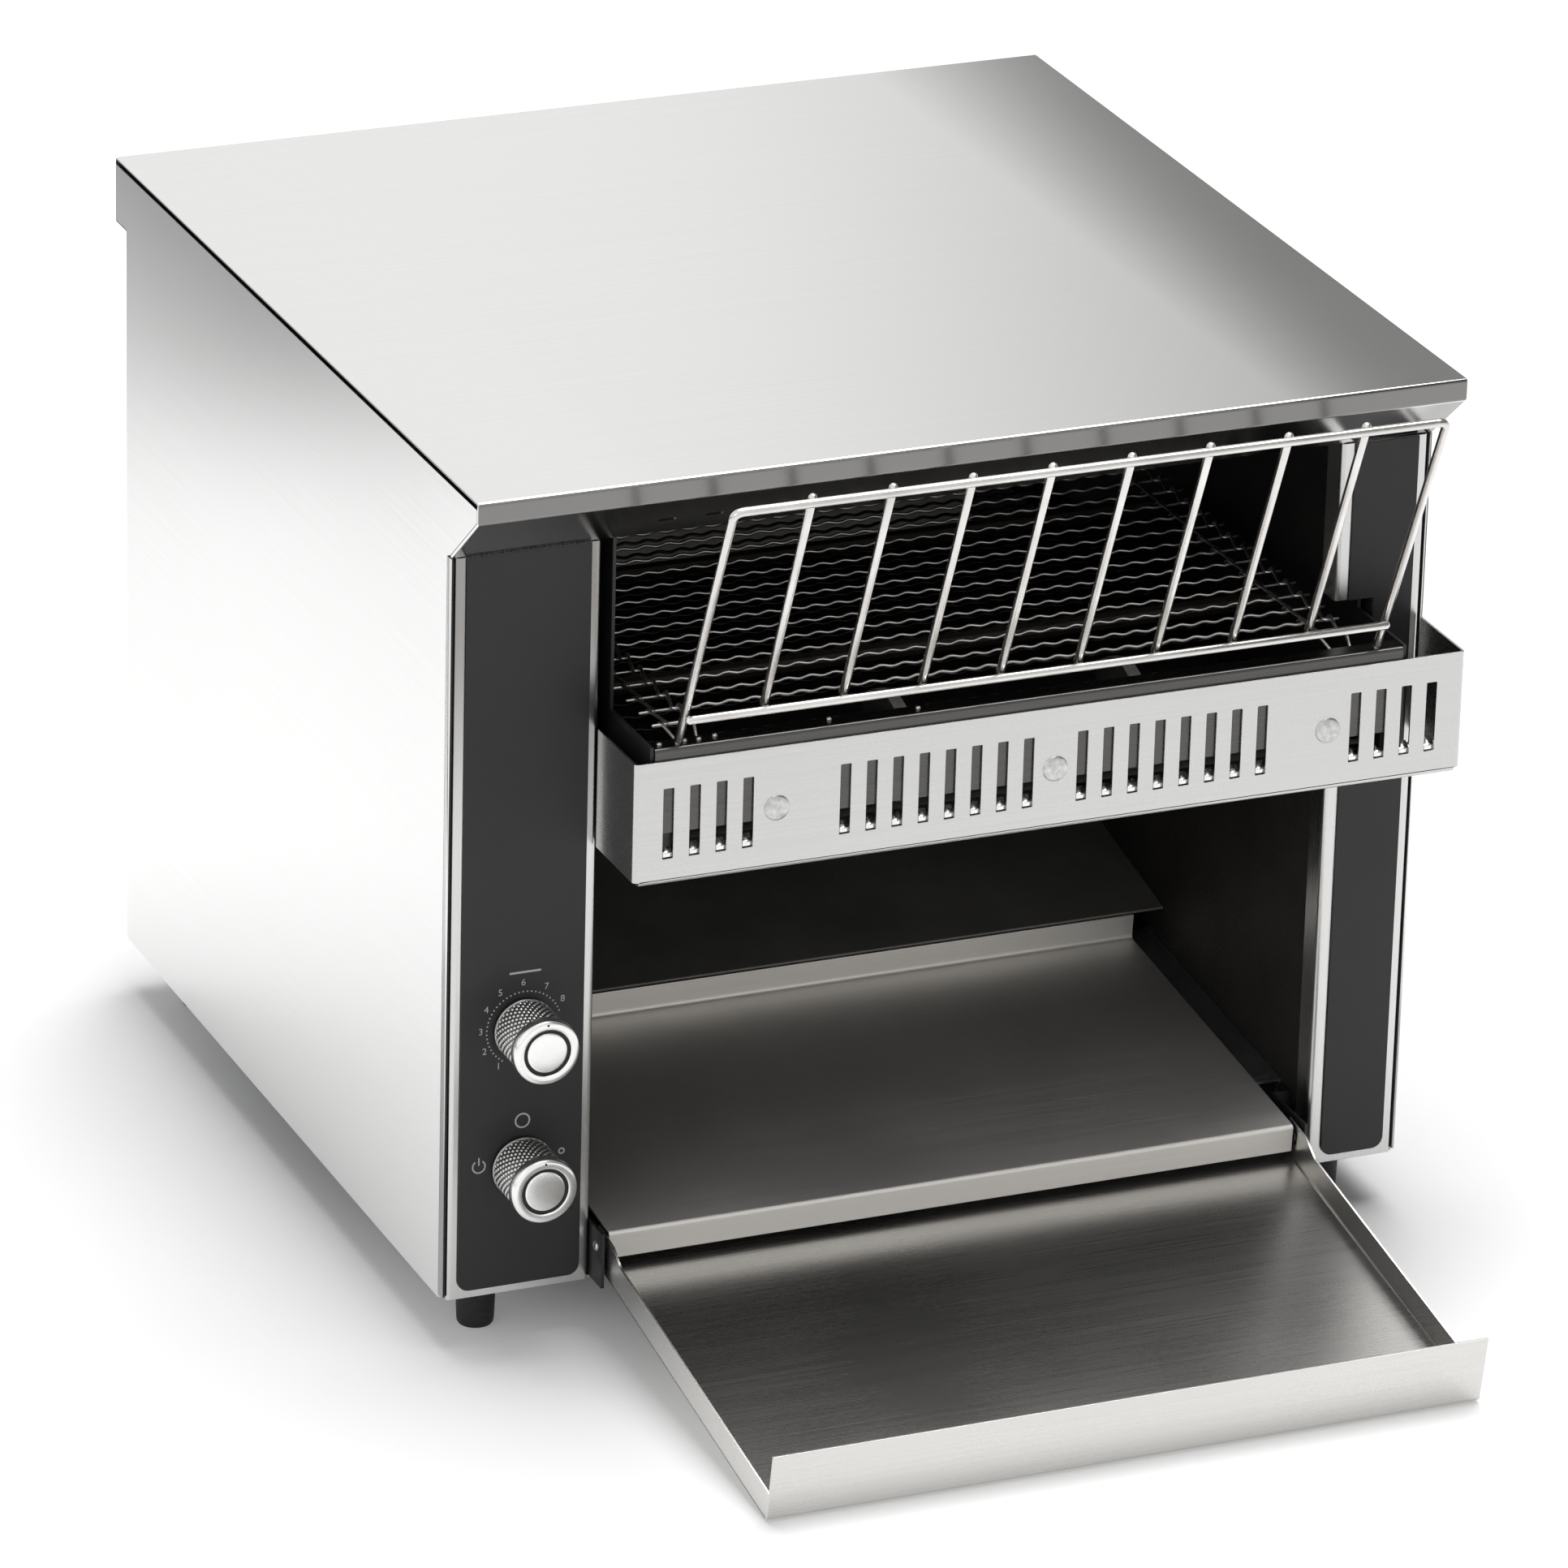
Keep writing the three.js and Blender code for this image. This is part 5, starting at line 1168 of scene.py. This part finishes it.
def straight(start, end):
    """A straight path from start to end in three equal steps."""
    share = np.linspace(0, 1, 4)[:, None]
    return np.asarray(start, float) * (1 - share) + np.asarray(end, float) * share


frame_path = eased_paths(np.array([
    (-rack_half, 0, rack_low), (-rack_half, 0, rack_height), (rack_half, 0, rack_height),
    (rack_half, 0, rack_low)]), 4.6, 8)
bar_xs = rack_half * (2 * np.arange(1, 9) / 9 - 1)
bars = [((x, 0.3, 14.5), (x, 3.5, 140.6), rod) for x in bar_xs]
bars.append(((-rack_half - 0.8, -3.5, 16.5), (rack_half + 0.8, -3.5, 16.5), rod))
bars += [((x, 0, -9.5), (x, 0, 0.5), spigot) for x in (-rack_half, rack_half)]
backward = leaned([0, 1, 0]) - leaned([0, 0, 0])
rack_wires = [tubes(leaned(frame_path), rod, -backward, 16)]
rack_wires += [
    tubes(leaned(straight(start, end)), radius, backward, 12) for start, end, radius in bars]
rack = surface_piece("rack", rack_wires, around=True, capped=(0, -1), crease=60)
settle(rack, "rack", "chrome", chromed, "loading_rack")

# Discharge shelf
# A stainless sheet with a deep front lip, sloping to the front, that rests on two galvanised
# angles. It slides out for cleaning.
shelf_front = (21.0, 26.3)
shelf_slope = math.radians(6)
shelf_line = rounded_line([(0, -13.5), (0, 0), (181.0, 0), (181.0, 12.6)], [1.8, 2.0])


def tilted(line, pivot, slope):
    """A line in y and z turned about a pivot: y cos - z sin, y sin + z cos."""
    y, z = np.asarray(line, float).T
    return np.stack(
        [pivot[0] + y * math.cos(slope) - z * math.sin(slope),
         pivot[1] + y * math.sin(slope) + z * math.cos(slope)], 1)


shelf_grid = swept(tilted(shelf_line, shelf_front, shelf_slope), (-159.5, 177.5))
shelf = sheet_piece("shelf", [shelf_grid], 0.25)
shelf_steel = brushed_steel(
    "shelf_steel", across, (0.88, 0.86, 0.83), (0.76, 0.74, 0.71), rough=(0.48, 0.64), cloud=7.0)
settle(shelf, "shelf", "stainless", shelf_steel, "discharge_shelf")
dress(galvanised, "left_shelf_rail", "right_shelf_rail")

# Collection tray
# A long stainless tray that hangs on two pins and slopes down to the counter. Its floor turns
# up into a tall front lip, and low walls run along both sides.
tray_pivot = (23.0, 20.0)
tray_slope = math.radians(9.4)
tray_floor = -12.6
tray_back = 7.0
tray_front = -198.2
tray_line = rounded_line(
    [(tray_back, tray_floor), (tray_front, tray_floor), (tray_front, 21.4)], 2.2, 8)
tray_steel = brushed_steel(
    "tray_steel", across, (0.70, 0.69, 0.67), (0.61, 0.60, 0.585), rough=(0.22, 0.34), cloud=6.0)
tray_grid = swept(tilted(tray_line, tray_pivot, tray_slope), (-162.0, 180.0))
tray = sheet_piece("tray", [tray_grid], 0.25)
settle(tray, "tray", "stainless", tray_steel, "collection_tray")
tray_wall = tilted([
    (tray_back, tray_floor + 0.3), (-196.0, tray_floor + 0.3), (-197.2, tray_floor + 1.5),
    (-197.2, 0.4), (-196.6, 1.2), (-195.8, 1.4), (-22.0, 1.4), (-19.5, 2.4), (-11.0, 6.0),
    (tray_back, 6.0), (tray_back, 2.9), (-2.9, 2.9), (-2.9, -2.9), (tray_back, -4.0),
], tray_pivot, tray_slope)
fold_radius = 2.6
fold_turn = np.linspace(0, math.pi / 2, 7)
fold_rise = tray_floor + 0.15 + fold_radius * (1 - np.sin(fold_turn))
for hand, inward, wall_x in (("left", 1, (-162.0, -160.8)), ("right", -1, (178.8, 180.0))):
    wall = block(f"tray_wall_{hand}", swept(tray_wall, wall_x))
    settle(wall, "tray", "stainless", tray_steel)
    fold_x = wall_x[(1 + inward) // 2] + inward * fold_radius * (1 - np.cos(fold_turn))
    fold_grid = np.empty((len(fold_turn), 2, 3))
    fold_grid[..., 0] = fold_x[:, None]
    fold_grid[..., 1:] = np.stack(
        [tilted([(y, z) for z in fold_rise], tray_pivot, tray_slope)
         for y in (6.5, -196.5)[::inward]], 1)
    fold_strip = surface_piece(f"tray_fold_{hand}", [fold_grid])
    settle(fold_strip, "tray", "stainless", tray_steel)
dress(stove_paint, "left_tray_bracket", "right_tray_bracket")
pin_profile = [(2.3, 0.0), (2.3, 0.5), (1.9, 1.0), (1.1, 1.3), (0.2, 1.4)]
pin_head = lathed("tray_pin_head", pin_profile, [(-164.7, *tray_pivot)], (-1, 0, 0), 24)
settle(pin_head, "housing", "chrome", screw_steel)

# Drive and cooling
# A die-cast gear motor for the belt, a small moulded fan behind the grille, and the black gland
# that the mains lead would enter through.
dress(die_cast, "gear_motor")
dress(moulded_plastic, "cooling_fan_frame", "cooling_fan_rotor", "cord_gland")
